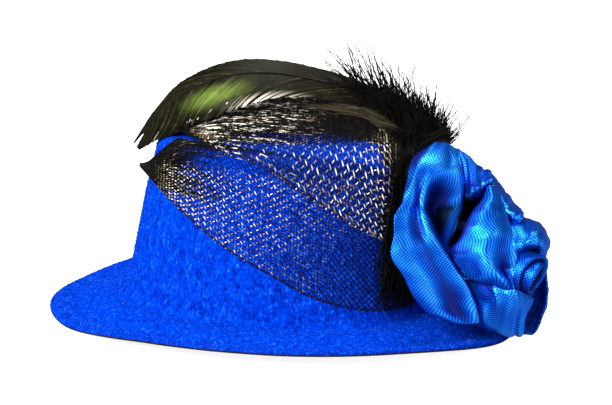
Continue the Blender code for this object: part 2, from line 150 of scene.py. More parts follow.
def turned_mesh(name, line, steps):
    """A closed skin turned round the Z axis and drawn out to an oval, with its poles as fans."""
    points, backing, faces = [], [], []
    for radius, height, dark in line[1:-1]:
        for i in range(steps):
            turn = tau * i / steps
            x, y = radius * cos(turn), radius * oval * sin(turn)
            wave = noise.noise(Vector((x, y, height)) * 45) * felt_unevenness
            points.append((x * (1 + wave * 8), y * (1 + wave * 8), height + brim_lift(x, y) + max(wave, 0)))
            backing.append(dark)
    last = len(points) - steps
    for near in range(0, last, steps):
        for i in range(steps):
            j = (i + 1) % steps
            faces.append((near + i, near + steps + i, near + steps + j, near + j))
    top, bottom = len(points), len(points) + 1
    for radius, height, dark in (line[0], line[-1]):
        points.append((0.0, 0.0, height))
        backing.append(dark)
    for i in range(steps):
        j = (i + 1) % steps
        faces += [(top, i, j), (bottom, last + j, last + i)]
    return skin(name, points, faces, backing=backing)


def shown(name, mesh, material):
    mesh.materials.clear()
    mesh.materials.append(material)
    thing = bpy.data.objects.new(name, mesh)
    bpy.context.scene.collection.objects.link(thing)
    return thing


def new_piece(name, mesh, material, node=None, wall=0.0):
    """A piece fixed to the felt, with a wall of its own or not, which may stand for a solid."""
    piece = shown(name, mesh, material)
    if wall:
        doubled = piece.modifiers.new("wall", "SOLIDIFY")
        doubled.thickness = wall
        doubled.offset = 0.0
    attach(piece, "root")
    if node:
        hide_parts(node)
    return piece


def feed(tree, node, feeds):
    """Links or sets each input of a node that is named, by a socket or a value."""
    for name, value in feeds.items():
        socket = node.inputs[name]
        if isinstance(value, bpy.types.NodeSocket):
            tree.links.new(value, socket)
        elif socket.type == "RGBA":
            socket.default_value = (*value, 1)
        else:
            socket.default_value = value


def add_node(tree, kind, feeds, **settings):
    """A new node's outputs, once its settings are made and its inputs are fed."""
    node = tree.nodes.new(kind)
    for name, value in settings.items():
        setattr(node, name, value)
    feed(tree, node, feeds)
    return node.outputs


def made_tree(name, kind, inputs, outputs):
    """A node tree with named inputs and outputs, and the sockets that its inputs come in by."""
    tree = bpy.data.node_groups.new(name, kind)
    for way, sockets in (("INPUT", inputs), ("OUTPUT", outputs)):
        for key, form in sockets.items():
            tree.interface.new_socket(key, in_out=way, socket_type="NodeSocket" + form)
    return tree, add_node(tree, "NodeGroupInput", {})


def blank_material(name, values):
    material = bpy.data.materials.new(name)
    material.use_nodes = True
    tree = material.node_tree
    shader = tree.nodes["Principled BSDF"]
    feed(tree, shader, values)
    return material, tree, shader


def attribute_value(tree, name):
    return add_node(tree, "ShaderNodeAttribute", {}, attribute_name=name)["Fac"]


def math_node(tree, operation, first, second):
    return add_node(tree, "ShaderNodeMath", {0: first, 1: second}, operation=operation)["Value"]


def product(tree, first, second):
    return math_node(tree, "MULTIPLY", first, second)


def spread_out(tree, value, low, high, to_low=0.0, to_high=1.0):
    """A value's share of the way from low to high, as a number between two others."""
    feeds = {"Value": value, "From Min": low, "From Max": high, "To Min": to_low, "To Max": to_high}
    return add_node(tree, "ShaderNodeMapRange", feeds)["Result"]


def mixed(tree, factor, first, second):
    """A colour mixed from two by a factor's socket."""
    feeds = {"Factor": factor, "A": first, "B": second}
    return add_node(tree, "ShaderNodeMix", feeds, data_type="RGBA")["Result"]


def colour_ramp(tree, value, stops):
    """The colour that a value picks from a row of (place, colour) stops."""
    ramp = tree.nodes.new("ShaderNodeValToRGB")
    row = ramp.color_ramp.elements
    row.remove(row[1])
    row[0].position = stops[0][0]
    row[0].color = (*stops[0][1], 1)
    for place, colour in stops[1:]:
        row.new(place).color = (*colour, 1)
    tree.links.new(value, ramp.inputs["Fac"])
    return ramp.outputs["Color"]


def make_fibre_group():
    """Tone and height of brushed or spun fibres: a coarse and a fine noise, mixed."""
    inputs = {"Vector": "Vector", "Coarse": "Float", "Fine": "Float"}
    outputs = {"Tone": "Float", "Height": "Float"}
    group, given = made_tree("fibre_grain", "ShaderNodeTree", inputs, outputs)
    coarse = {"Vector": given["Vector"], "Scale": given["Coarse"], "Detail": 3.0}
    coarse = add_node(group, "ShaderNodeTexNoise", coarse)["Fac"]
    fine = {"Vector": given["Vector"], "Scale": given["Fine"], "Detail": 2.0}
    fine = add_node(group, "ShaderNodeTexNoise", fine)["Fac"]
    both = add_node(group, "ShaderNodeMix", {"Factor": 0.6, "A": coarse, "B": fine})["Result"]
    add_node(group, "NodeGroupOutput", {"Tone": spread_out(group, both, 0.32, 0.68), "Height": fine})
    return group


fibre_grain = make_fibre_group()


def grained(tree, vector, coarse, fine):
    """The fibre group's outputs in a material, read at a place by a vector socket."""
    feeds = {"Vector": vector, "Coarse": coarse, "Fine": fine}
    return add_node(tree, "ShaderNodeGroup", feeds, node_tree=fibre_grain)


felt_blue, tree, shader = blank_material(
    "felt_blue",
    {
        "Roughness": 0.9,
        "Sheen Weight": 0.03,
        "Sheen Roughness": 0.45,
        "Sheen Tint": (0.10, 0.45, 1.0),
        "Specular IOR Level": 0.0,
    },
)
place = add_node(tree, "ShaderNodeTexCoord", {})["Object"]
brushed = add_node(tree, "ShaderNodeMapping", {"Vector": place, "Scale": (1.0, 1.0, 0.45)})["Vector"]
grain = grained(tree, brushed, 700.0, 2100.0)
blues = [(0.0, (0.000, 0.003, 0.06)), (0.35, (0.000, 0.015, 0.27))]
blues += [(0.75, (0.000, 0.042, 0.50)), (1.0, (0.015, 0.130, 0.78))]
blues = colour_ramp(tree, grain["Tone"], blues)
# The inner side and the rim's underside are coloured near black by the value that each point keeps.
edged = mixed(tree, attribute_value(tree, "backing"), blues, (0.012, 0.011, 0.014))
raised = {"Strength": 0.7, "Distance": 0.0006, "Height": grain["Height"]}
raised = add_node(tree, "ShaderNodeBump", raised)["Normal"]
feed(tree, shader, {"Base Color": edged, "Normal": raised})

outer_line = felt_line()
hat_mesh = turned_mesh("felt_body", outer_line + lining_line(outer_line), turn_steps)
felt_body = new_piece("felt_body", hat_mesh, felt_blue, "felt_hat")

# Felt pile: the brushed nap, short fibres that stand up all over the outer side of the felt.
# They are thin cones set by Geometry Nodes, leaning at random, and thickest along the rim.
pile_per_square_metre = 1.5e6
pile_length = 0.00075
pile_thickness = 0.00009
pile_lean = 0.75
rim_start = 0.93
bare_of_pile = 0.5


def toned_material(name, roughness, specular, key, stops):
    """A material whose colour is picked by a value on its piece's points."""
    values = {"Roughness": roughness, "Specular IOR Level": specular}
    material, tree, shader = blank_material(name, values)
    feed(tree, shader, {"Base Color": colour_ramp(tree, attribute_value(tree, key), stops)})
    return material


def point_value(tree, name):
    feeds = {"Name": name}
    return add_node(tree, "GeometryNodeInputNamedAttribute", feeds, data_type="FLOAT")["Attribute"]


def end_tree(tree, made, material):
    """Ends a tree in real faces of one material."""
    real = add_node(tree, "GeometryNodeRealizeInstances", {"Geometry": made})["Geometry"]
    coloured = add_node(tree, "GeometryNodeSetMaterial", {"Geometry": real, "Material": material})
    add_node(tree, "NodeGroupOutput", {"Geometry": coloured["Geometry"]})
    return tree


def make_pile_tree():
    """Stands short cones all over a skin, as thick as its points' pile says."""
    inputs = {"Geometry": "Geometry", "Density": "Float", "Length": "Float", "Thickness": "Float"}
    inputs.update({"Lean": "Float", "Seed": "Int", "Material": "Material"})
    tree, given = made_tree("felt_pile", "GeometryNodeTree", inputs, {"Geometry": "Geometry"})
    density = product(tree, given["Density"], point_value(tree, "pile"))
    spread = {"Mesh": given["Geometry"], "Density": density, "Seed": given["Seed"]}
    spread = add_node(tree, "GeometryNodeDistributePointsOnFaces", spread)
    lean = {"Min": product(tree, given["Lean"], -1.0), "Max": given["Lean"], "Seed": given["Seed"]}
    lean = add_node(tree, "FunctionNodeRandomValue", lean, data_type="FLOAT_VECTOR")["Value"]
    turn = {"Rotation": spread["Rotation"], "Rotate By": lean}
    turn = add_node(tree, "FunctionNodeRotateRotation", turn, rotation_space="LOCAL")["Rotation"]
    fibre = {"Vertices": 3, "Radius Top": 0.0, "Radius Bottom": given["Thickness"], "Depth": given["Length"]}
    fibre = add_node(tree, "GeometryNodeMeshCone", fibre, fill_type="NONE")["Mesh"]
    size = {"Min": 0.45, "Max": 1.15, "Seed": given["Seed"]}
    size = add_node(tree, "FunctionNodeRandomValue", size, data_type="FLOAT")["Value"]
    put = {"Points": spread["Points"], "Instance": fibre, "Rotation": turn, "Scale": size}
    put = add_node(tree, "GeometryNodeInstanceOnPoints", put)["Instances"]
    tone = add_node(tree, "FunctionNodeRandomValue", {}, data_type="FLOAT")["Value"]
    keep = {"Geometry": put, "Name": "tone", "Value": tone}
    keep = add_node(tree, "GeometryNodeStoreNamedAttribute", keep, data_type="FLOAT", domain="INSTANCE")
    return end_tree(tree, keep["Geometry"], given["Material"])


def baked_by_nodes(name, mesh, tree, values):
    """The plain mesh that a node tree makes of a mesh, with nothing live left on it."""
    source = bpy.data.objects.new(name, mesh)
    bpy.context.scene.collection.objects.link(source)
    modifier = source.modifiers.new("made", "NODES")
    modifier.node_group = tree
    for socket in tree.interface.items_tree:
        if socket.name in values:
            modifier[socket.identifier] = values[socket.name]
    bpy.context.view_layer.update()
    graph = bpy.context.evaluated_depsgraph_get()
    made = bpy.data.meshes.new_from_object(source.evaluated_get(graph))
    made.name = name
    bpy.data.objects.remove(source)
    return made


pile_blues = [(0.0, (0.000, 0.004, 0.10)), (0.5, (0.000, 0.026, 0.38))]
pile_blues += [(0.9, (0.002, 0.075, 0.70)), (1.0, (0.060, 0.200, 0.80))]
pile_blue = toned_material("pile_blue", 0.8, 0.0, "tone", pile_blues)
pile_source = felt_body.data.copy()
amount = pile_source.attributes.new("pile", "FLOAT", "POINT")
backings = np.zeros(len(pile_source.vertices), np.float32)
pile_source.attributes["backing"].data.foreach_get("value", backings)
spots = np.array([vertex.co for vertex in pile_source.vertices])
outness = np.hypot(spots[:, 0], spots[:, 1] / oval) / (brim_length / 2)
rim_share = np.clip((outness - rim_start) / (1 - rim_start), 0, 1)
amounts = np.where(backings > bare_of_pile, 0.0, 0.75 + 1.2 * rim_share)
amount.data.foreach_set("value", amounts.astype(np.float32))
pile_mesh = baked_by_nodes(
    "felt_pile",
    pile_source,
    make_pile_tree(),
    {
        "Density": pile_per_square_metre,
        "Length": pile_length,
        "Thickness": pile_thickness,
        "Lean": pile_lean,
        "Seed": 4,
        "Material": pile_blue,
    },
)
new_piece("felt_pile", pile_mesh, pile_blue)

# Net leaves: two folds of stiff black nylon net, woven on the bias from bare strands.
# Each is pinched to a point over the crown's left edge and gathered under the rosette at the right.
net_loft = 0.0090
net_wall = 0.0010
net_strand_radius = 0.00018
net_weave_depth = 0.00016
edge_start = 0.88
edge_end = 1.12
gather_steps = 12
fan_steps = 32
net_columns = ("along", "low", "high", "low_stand", "mid_stand", "high_stand")
lower_leaf = [
    (-0.935, 0.78, 0.80, 0.44, 0.48, 0.47),
    (-0.860, 0.74, 0.86, 0.26, 0.34, 0.36),
    (-0.740, 0.66, 1.02, 0.17, 0.26, 0.20),
    (-0.580, 0.55, 1.30, 0.16, 0.24, 0.14),
    (-0.330, 0.39, 1.36, 0.17, 0.22, 0.14),
    (-0.080, 0.26, 1.20, 0.18, 0.20, 0.14),
    (0.170, 0.13, 1.08, 0.20, 0.20, 0.14),
    (0.420, 0.05, 1.00, 0.22, 0.20, 0.15),
    (0.640, 0.02, 0.86, 0.22, 0.20, 0.16),
    (0.800, 0.04, 0.70, 0.20, 0.18, 0.16),
]
upper_leaf = [
    (-0.715, 1.50, 1.60, 0.38, 0.40, 0.38),
    (-0.620, 1.20, 1.95, 0.36, 0.42, 0.42),
    (-0.440, 1.02, 2.35, 0.36, 0.66, 0.82),
    (-0.220, 0.97, 2.50, 0.42, 0.72, 0.98),
    (0.010, 0.85, 2.55, 0.46, 0.72, 1.02),
    (0.200, 0.72, 2.52, 0.46, 0.72, 1.00),
    (0.380, 0.60, 2.30, 0.44, 0.68, 0.86),
    (0.520, 0.52, 1.90, 0.42, 0.58, 0.62),
    (0.630, 0.46, 1.40, 0.40, 0.44, 0.46),
    (0.700, 0.46, 0.95, 0.40, 0.40, 0.40),
]


def spline(values, share):
    """Smooth value at a share of the way along a short list."""
    place = min(max(share, 0.0), 1.0) * (len(values) - 1)
    i = min(int(place), len(values) - 2)
    t = place - i
    before, here = values[max(i - 1, 0)], values[i]
    there, after = values[i + 1], values[min(i + 2, len(values) - 1)]
    return 0.5 * (
        2 * here
        + (there - before) * t
        + (2 * before - 5 * here + 4 * there - after) * t ** 2
        + (3 * here - before - 3 * there + after) * t ** 3
    )


def section(columns, table, share):
    """The row of a table at a share of the way down it, as a dictionary by column name."""
    return {name: spline([row[i] for row in table], share) for i, name in enumerate(columns)}


def over_crown(x, climb, stand_off):
    """A point over the crown: climb 0 is the near wall's foot, 1 the near top edge, 2 the middle."""
    shoulder = hat_height - shoulder_radius
    turn = pi / 2 * min(max((climb - edge_start) / (edge_end - edge_start), 0.0), 1.0)
    height = crown_foot + (shoulder - crown_foot) * min(climb / edge_start, 1.0)
    radius = wall_half(height) - shoulder_radius * (1 - cos(turn))
    height += (shoulder_radius + stand_off) * sin(turn)
    aside = stand_off * cos(turn)
    inside = sqrt(max(1 - (x / (radius + aside)) ** 2, 0.0))
    across = (2 - max(climb, edge_end)) / (2 - edge_end)
    return Vector((x, -(radius * oval + aside) * inside * across, height))


def leaf_point(leaf, up, lift):
    """A point of a net leaf's section, a share of the way up it and lifted off the sheet."""
    down = 1 - up
    stand = (
        down * (down - up) * leaf["low_stand"]
        + 4 * down * up * leaf["mid_stand"]
        + up * (up - down) * leaf["high_stand"]
    )
    climb = leaf["low"] * down + leaf["high"] * up
    return over_crown(leaf["along"] * base_half, climb, stand * net_loft - net_wall / 2 + lift)


def leaf_places(table):
    """Shares of the way along a leaf's table, and how far along the crown each of them lies."""
    shares = np.linspace(0, 1, 400)
    return shares, [section(net_columns, table, share)["along"] for share in shares]


def net_lines(table, strands, crossings, bunching, shine, lowest=0.0):
    """Woven strands that run from edge to edge of a leaf and turn back there, as polylines."""
    lines = []
    steps = int(crossings * strands * 4)
    shares, alongs = leaf_places(table)
    even = np.interp(np.linspace(alongs[0], alongs[-1], steps + 1), alongs, shares)
    rows = [section(net_columns, table, share) for share in even]
    for i in range(strands):
        line = []
        for k, row in enumerate(rows):
            gone = crossings * k / steps
            phase = (2 * i / strands + gone) % 2
            up = 1 - (1 - lowest) * (1 - (phase if phase < 1 else 2 - phase)) ** bunching
            over = (1 if phase < 1 else -1) * cos(pi * strands * gone)
            point = leaf_point(row, up, over * net_weave_depth)
            thin = 1.0
            if table is lower_leaf and point.x > -0.022:
                thin = 1 - 0.6 * ease((point.z - hat_height + 0.0015) / 0.002)
                thin += 0.18 * ease((point.x + 0.005) / 0.015)
            line.append((point, thin, shine(point, over, i)))
        lines.append(line)
    for up in (0.0, 0.012, 1.0):
        line = []
        for k in range(0, steps + 1, 2):
            point = leaf_point(rows[k], max(up, lowest), net_weave_depth)
            line.append((point, 1.0 if up < 0.5 else 0.4, shine(point, 0.2, k // 60)))
        lines.append(line)
    return lines


def gather_lines(count, low, high, first, last, seed):
    """Bunched black strands of a leaf's gathered end, beside the rosette."""
    rng = np.random.default_rng(seed)
    lines = []
    for i in range(count):
        along = first + (last - first) * rng.random() ** 0.5
        stand = net_loft * rng.uniform(0.10, 0.42)
        start = rng.uniform(low, low + (high - low) * 0.3)
        finish = rng.uniform(high - (high - low) * 0.3, high)
        lean = rng.normal(0.02, 0.03)
        line = []
        for k in range(gather_steps + 1):
            share = k / gather_steps
            x = (along + 0.012 * sin(share * 9 + i) + lean * (share - 0.5)) * base_half
            climb = start + (finish - start) * share
            glint = 0.42 * max(sin(share * 40 + i * 2.3), 0) ** 4 * rng.random()
            line.append((over_crown(x, climb, stand), 0.9, glint * ease((climb - 0.5) / 0.6)))
        lines.append(line)
    return lines


def fan_lines(table, count, lowest, first_end, last_end, shine, seed):
    """Strands that fan out from a leaf's pinched tip and end under the single net."""
    rng = np.random.default_rng(seed)
    shares, alongs = leaf_places(table)
    lines = []
    for i in range(count):
        start = rng.uniform(lowest, 1.0)
        drift = rng.normal(0, 0.05)
        end = rng.uniform(first_end, last_end)
        depth = net_weave_depth * rng.uniform(-1.2, 1.2)
        line = []
        for k in range(fan_steps + 1):
            along = alongs[0] + (end - alongs[0]) * k / fan_steps
            row = section(net_columns, table, float(np.interp(along, alongs, shares)))
            up = min(max(start + drift * sin(k / 9 + i), 0.0), 1.0)
            point = leaf_point(row, up, depth)
            line.append((point, 1.0 - 0.5 * (k / fan_steps) ** 3, shine(point, 1.25, i)))
        lines.append(line)
    return lines


def leaf_area(table):
    """The area in square metres of a leaf's sheet, measured over its shape."""
    rows = [section(net_columns, table, k / 60) for k in range(61)]
    spots = np.array([[leaf_point(row, i / 20, 0.0) for i in range(21)] for row in rows])
    along = spots[1:, :-1] - spots[:-1, :-1]
    across = spots[:-1, 1:] - spots[:-1, :-1]
    return float(np.linalg.norm(np.cross(along, across), axis=2).sum())


def make_strand_tree():
    """Draws loose edges as round strands, as thick as their points say."""
    inputs = {"Geometry": "Geometry", "Radius": "Float", "Sides": "Int", "Material": "Material"}
    tree, given = made_tree("round_strand", "GeometryNodeTree", inputs, {"Geometry": "Geometry"})
    radius = product(tree, given["Radius"], point_value(tree, "thick"))
    curve = add_node(tree, "GeometryNodeMeshToCurve", {"Mesh": given["Geometry"]})["Curve"]
    ring = {"Radius": 1.0, "Resolution": given["Sides"]}
    ring = add_node(tree, "GeometryNodeCurvePrimitiveCircle", ring)["Curve"]
    tube = {"Curve": curve, "Profile Curve": ring, "Scale": radius, "Fill Caps": True}
    tube = add_node(tree, "GeometryNodeCurveToMesh", tube)["Mesh"]
    return end_tree(tree, tube, given["Material"])


strand_tree = make_strand_tree()


def strand_mesh(name, lines, radius, material, sides=3):
    """Round strands along polylines, whose points each have a place, a thickness and a shine."""
    edges = []
    first = 0
    for line in lines:
        edges += [(first + i, first + i + 1) for i in range(len(line) - 1)]
        first += len(line)
    points, thick, bright = zip(*[place for line in lines for place in line])
    mesh = skin(name, points, [], edges, thick=thick, shine=bright)
    values = {"Radius": radius, "Sides": sides, "Material": material}
    return baked_by_nodes(name, mesh, strand_tree, values)


def patchy(point, seed, scale):
    """A random value from 0 to about 1.4 along a strand, with dark stretches between glints."""
    drift = noise.noise(Vector(point) * scale + Vector((seed * 3.1, seed * 1.7, 0.0)))
    return max(0.45 + 1.3 * drift, 0.0)


def lower_shine(point, over, seed):
    """How much a strand of the lower leaf glints: most where it faces the light on the left."""
    facing = 0.20 + ease((0.034 - point.x) / 0.060) * 0.80 + 0.36 * ease((point.z - 0.020) / 0.030)
    facing *= ease((point.x + 0.046) / 0.012) * ease((0.038 - point.x) / 0.012)
    facing *= 1 - 0.85 * ease((point.z - 0.050) / 0.006)
    return max(over, 0.0) * facing * (0.30 + 0.70 * patchy(point, seed, 520))


def tip_shine(point, over, seed):
    """The few faint glints of the strands at a leaf's dark pinched tip."""
    return 0.55 * max(patchy(point, seed, 420) - 0.30, 0.0) * ease((point.x + 0.044) / 0.010)


def upper_shine(point, over, seed):
    """How much a strand of the upper leaf glints: less in its folded top and by the rosette."""
    facing = 0.60 + 0.60 * ease((point.x + 0.010) / 0.035)
    facing *= ease((point.x + 0.036) / 0.010) * ease((0.0365 - point.x) / 0.006)
    facing *= 1 - ease((point.z - 0.0605) / 0.002) * (0.50 + 0.30 * ease((point.x - 0.002) / 0.015))
    facing *= 1 - 0.65 * ease((point.x - 0.0275) / 0.004)
    return max(over + 0.2, 0.0) * facing * (0.35 + 0.70 * patchy(point, seed, 520))


def fold_shine(point, over, seed):
    """The glints of the strands that run along the upper leaf's folded top, as short dashes."""
    facing = 0.80 * ease((point.x + 0.034) / 0.008) * (1 - 0.8 * ease((point.x + 0.004) / 0.018))
    facing *= 0.25 + 0.85 * max(over, 0.0) ** 3
    return facing * max(patchy(point, seed, 380) - 0.40, 0.0) * 1.45


# The strands are near black, and their shine paints glints on them as highlights, from tan to cream.
net_tones = [(0.0, (0.002, 0.002, 0.002)), (0.3, (0.007, 0.005, 0.004)), (0.6, (0.235, 0.185, 0.120))]
net_tones += [(0.85, (0.500, 0.465, 0.375)), (1.0, (0.800, 0.760, 0.670))]
net_black = toned_material("net_black", 0.28, 0.03, "shine", net_tones)
lower_lines = net_lines(lower_leaf, 48, 1.9, 1.0, lower_shine)
upper_lines = net_lines(upper_leaf, 60, 1.3, 1.30, upper_shine)
upper_lines += net_lines(upper_leaf, 40, 0.8, 1.0, fold_shine, 0.40)
for name, node, table, lines, flat in (
    ("net_lower", "net_leaf_lower", lower_leaf, lower_lines, (0.075, 0.105)),
    ("net_upper", "net_leaf_upper", upper_leaf, upper_lines, (0.075, 0.095)),
):
    net_mesh = strand_mesh(name, lines, net_strand_radius, net_black)
    net = new_piece(name, net_mesh, net_black, node)
    leaf_area(table)
    net.visible_shadow = False

gathers = gather_lines(240, 0.02, 0.85, 0.54, 0.82, 3)
gathers += gather_lines(150, 0.30, 1.75, 0.62, 0.82, 5)
gathers += fan_lines(lower_leaf, 125, 0.20, -0.74, -0.34, tip_shine, 6)
gathers += fan_lines(upper_leaf, 130, 0.34, -0.35, 0.45, fold_shine, 7)
gathers += fan_lines(upper_leaf, 55, 0.03, -0.55, 0.10, fold_shine, 8)
gather_mesh = strand_mesh("net_gathers", gathers, net_strand_radius, net_black)
new_piece("net_gathers", gather_mesh, net_black)

# Feathers: two cock feathers, each a quill with flat barbs that sweep towards its tip.
# The long one arches over the crown, and the short one goes back behind the net's upper edge.
feather_run = 0.0870
feather_rise = 0.0200
feather_width = 0.0170
short_run = 0.0613
short_feather_width = 0.0130
quill_radius = 0.0009
quill_rest = radians(50)
clearance = 0.0004
feather_wall = 0.0010
vane_droop = 0.14
barb_sweep = 0.150
barb_overrun = 0.055
barb_half_width = 0.00031
barb_steps = 9
vane_steps = 400
feather_columns = ("run", "back", "rise", "near", "far", "tilt")
long_feather = [
    (0.000, 0.10, 0.00, 0.05, 0.05, 20),
    (0.006, 0.22, 0.13, 0.06, 0.06, 25),
    (0.040, 0.32, 0.27, 0.08, 0.08, 30),
    (0.130, 0.40, 0.47, 0.16, 0.14, 36),
    (0.245, 0.40, 0.69, 0.26, 0.26, 40),
    (0.382, 0.35, 0.83, 0.34, 0.30, 42),
    (0.539, 0.25, 0.94, 0.50, 0.34, 42),
    (0.696, 0.20, 0.89, 0.70, 0.38, 40),
    (0.853, 0.12, 0.63, 0.78, 0.36, 34),
    (0.947, 0.05, 0.27, 0.66, 0.26, 30),
    (1.000, 0.00, -0.02, 0.40, 0.20, 26),
]
short_feather = [
    (0.000, 0.62, -0.04, 0.07, 0.07, 10),
    (0.010, 0.80, 0.09, 0.08, 0.08, 12),
    (0.090, 1.10, 0.28, 0.20, 0.20, 20),
    (0.246, 1.45, 0.34, 0.48, 0.44, 22),
    (0.455, 1.72, 0.34, 0.52, 0.48, 20),
    (0.685, 1.86, 0.28, 0.48, 0.46, 18),
    (0.873, 1.88, 0.22, 0.34, 0.32, 16),
    (1.000, 1.86, 0.18, 0.10, 0.10, 14),
]


def quill_point(table, run, share):
    """A point of the quill, which ends on the rounded right edge of the crown's top."""
    foot = section(feather_columns, table, 0.0)
    row = section(feather_columns, table, share)
    reach = shoulder_radius + clearance + quill_radius + feather_wall / 2
    half = top_half - shoulder_radius + reach * cos(quill_rest)
    foot_x = half * sqrt(1 - (foot["back"] * feather_rise / (half * oval)) ** 2)
    foot_z = hat_height - shoulder_radius + reach * sin(quill_rest)
    return Vector(
        (foot_x - row["run"] * run, row["back"] * feather_rise, foot_z + row["rise"] * feather_rise)
    )


def vane_frame(table, run, share):
    """(quill point, way to the near edge, way off the vane, row) at a share of the feather."""
    row = section(feather_columns, table, share)
    ahead = (quill_point(table, run, share + 0.01) - quill_point(table, run, share - 0.01)).normalized()
    level = Vector((0.0, -1.0, 0.0))
    level = (level - ahead * level.dot(ahead)).normalized()
    out = ahead.cross(level)
    tilt = radians(row["tilt"])
    near_way = level * cos(tilt) - out * sin(tilt)
    out = level * sin(tilt) + out * cos(tilt)
    return quill_point(table, run, share), near_way, out, row


def vane_place(frames, run, share):
    """(middle, way to the near edge, way off the vane, row) at a share, past the quill's tip too."""
    middle, near_way, out, row = frames[min(int(share * vane_steps), vane_steps)]
    if share > 1:
        ahead = (frames[vane_steps][0] - frames[vane_steps - 8][0]).normalized()
        middle = middle + ahead * (share - 1) * run
    return middle, near_way, out, row


def barb_mesh(name, table, run, width, barbs, first, seed):
    """Flat barbs along both sides of a quill, each a strip that droops and sweeps to the tip."""
    rng = np.random.default_rng(seed)
    frames = [vane_frame(table, run, k / vane_steps) for k in range(vane_steps + 1)]
    points, faces, along, across, tones = [], [], [], [], []
    for side in (1, -1):
        split = 0.0
        for i in range(barbs):
            start = first + (1 - first) * i / barbs
            if rng.random() < 0.04:
                split = rng.uniform(-0.15, 0.15)
            split *= 0.96
            reach = rng.uniform(0.93, 1.05) - 0.12 * (rng.random() < 0.08)
            drift = noise.noise(Vector((i * 0.11, side, seed)))
            tone = min(max(0.5 + 0.9 * drift + rng.uniform(-0.2, 0.2), 0.0), 1.0)
            row = []
            for k in range(barb_steps + 1):
                r = k / barb_steps
                share = start + barb_sweep * r ** 1.15 * (1 + 0.20 * split * r) * rng.uniform(0.995, 1.005)
                share = min(share, 1 + barb_overrun * reach)
                middle, near_way, out, here = vane_place(frames, run, share)
                taper = 1 - 0.45 * max(share - 1, 0) / barb_overrun
                half = max(here["near"] if side > 0 else here["far"], 0.0) * width * taper
                aside = half * r * reach
                drop = aside * vane_droop * r
                spot = middle + near_way * aside * side - out * drop
                spot += out * (0.0001 + 0.00022 * split * r)
                row.append((spot, share, side * r, out))
            base = len(points)
            for k, (spot, share, where, out) in enumerate(row):
                ahead = row[min(k + 1, barb_steps)][0] - row[max(k - 1, 0)][0]
                half = barb_half_width * (1.0 - 0.50 * (k / barb_steps) ** 6)
                edge = ahead.cross(out).normalized() * half
                points += [spot + edge, spot - edge]
                along += [share, share]
                across += [where, where]
                tones += [tone, tone]
            for a in range(base, base + 2 * barb_steps, 2):
                faces.append((a, a + 1, a + 3, a + 2) if side > 0 else (a, a + 2, a + 3, a + 1))
    return skin(name, points, faces, along=along, across=across, tone=tones)


def hump(tree, value, middle, width):
    """1 where a value is at the middle, falling to 0 a width away on both sides."""
    away = math_node(tree, "ABSOLUTE", math_node(tree, "SUBTRACT", value, middle), 0.0)
    feeds = {"Value": away, "From Min": width, "From Max": 0.0}
    return add_node(tree, "ShaderNodeMapRange", feeds, interpolation_type="SMOOTHSTEP")["Result"]


def patch(along, across):
    """A soft patch on the vane, given by its middle and width along and across it."""
    return product(tree, hump(tree, barb_along, *along), hump(tree, barb_across, *across))


feather_green, tree, shader = blank_material("feather_green", {"Specular IOR Level": 0.05})
barb_along, barb_across = attribute_value(tree, "along"), attribute_value(tree, "across")
tone = attribute_value(tree, "tone")
stretched = {"X": product(tree, barb_along, 5.0), "Y": product(tree, barb_across, 0.7)}
stretched = add_node(tree, "ShaderNodeCombineXYZ", {**stretched, "Z": product(tree, tone, 0.6)})
bands = grained(tree, stretched["Vector"], 3.0, 9.0)["Tone"]
streaks = math_node(tree, "ADD", product(tree, bands, 0.45), product(tree, tone, 0.55))
browns = [(0.0, (0.001, 0.001, 0.001)), (0.4, (0.003, 0.003, 0.001))]
browns += [(0.7, (0.011, 0.010, 0.004)), (1.0, (0.060, 0.053, 0.022))]
# Painted sheen: a patch of green glint on the vane's middle, towards its tip.
painted_green_sheen = product(tree, patch((0.75, 0.12), (0.45, 0.40)), product(tree, streaks, 1.45))
coloured = mixed(tree, painted_green_sheen, colour_ramp(tree, streaks, browns), (0.120, 0.170, 0.032))
# Painted highlight: pale cream along the vane's near lower edge.
painted_pale_highlight = product(tree, patch((0.63, 0.13), (1.00, 0.34)), spread_out(tree, tone, 0.35, 0.55))
coloured = mixed(tree, painted_pale_highlight, coloured, (0.70, 0.64, 0.52))
tip_dark = spread_out(tree, barb_along, 0.84, 1.04, to_high=0.65)
coloured = mixed(tree, tip_dark, coloured, (0.004, 0.003, 0.002))
feed(tree, shader, {"Base Color": coloured, "Roughness": spread_out(tree, tone, 0.0, 1.0, 0.25, 0.55)})

for name, node, table, run, width, barbs, first in (
    ("long_feather_barbs", "feather_long", long_feather, feather_run, feather_width, 560, 0.06),
    ("short_feather_barbs", "feather_short", short_feather, short_run, short_feather_width, 340, 0.08),
):
    barbs_mesh = barb_mesh(name, table, run, width, barbs, first, 7)
    new_piece(name, barbs_mesh, feather_green, node)

# Quills: the feathers' shafts, thick and pale brown at the root and thin and dark at the tip.
# Each is drawn as a round strand that lies on its vane's middle, and no solid of its own stands for it.
quill_steps = 80
quill_taper = 0.82
quill_tones = [(0.0, (0.150, 0.120, 0.070)), (0.35, (0.030, 0.026, 0.014)), (0.6, (0.003, 0.003, 0.002))]
quill_brown = toned_material("quill_brown", 0.45, 0.10, "shine", quill_tones)
for name, table, run in (
    ("long_quill", long_feather, feather_run),
    ("short_quill", short_feather, short_run),
):
    line = []
    for k in range(quill_steps + 1):
        share = k / quill_steps
        middle, near_way, out, row = vane_frame(table, run, share)
        line.append((middle + out * 0.0002, 1.0 - quill_taper * share, share))
    quill_mesh = strand_mesh(name, [line], quill_radius * 0.6, quill_brown, sides=8)
    quill_mesh.shade_smooth()
    new_piece(name, quill_mesh, quill_brown)

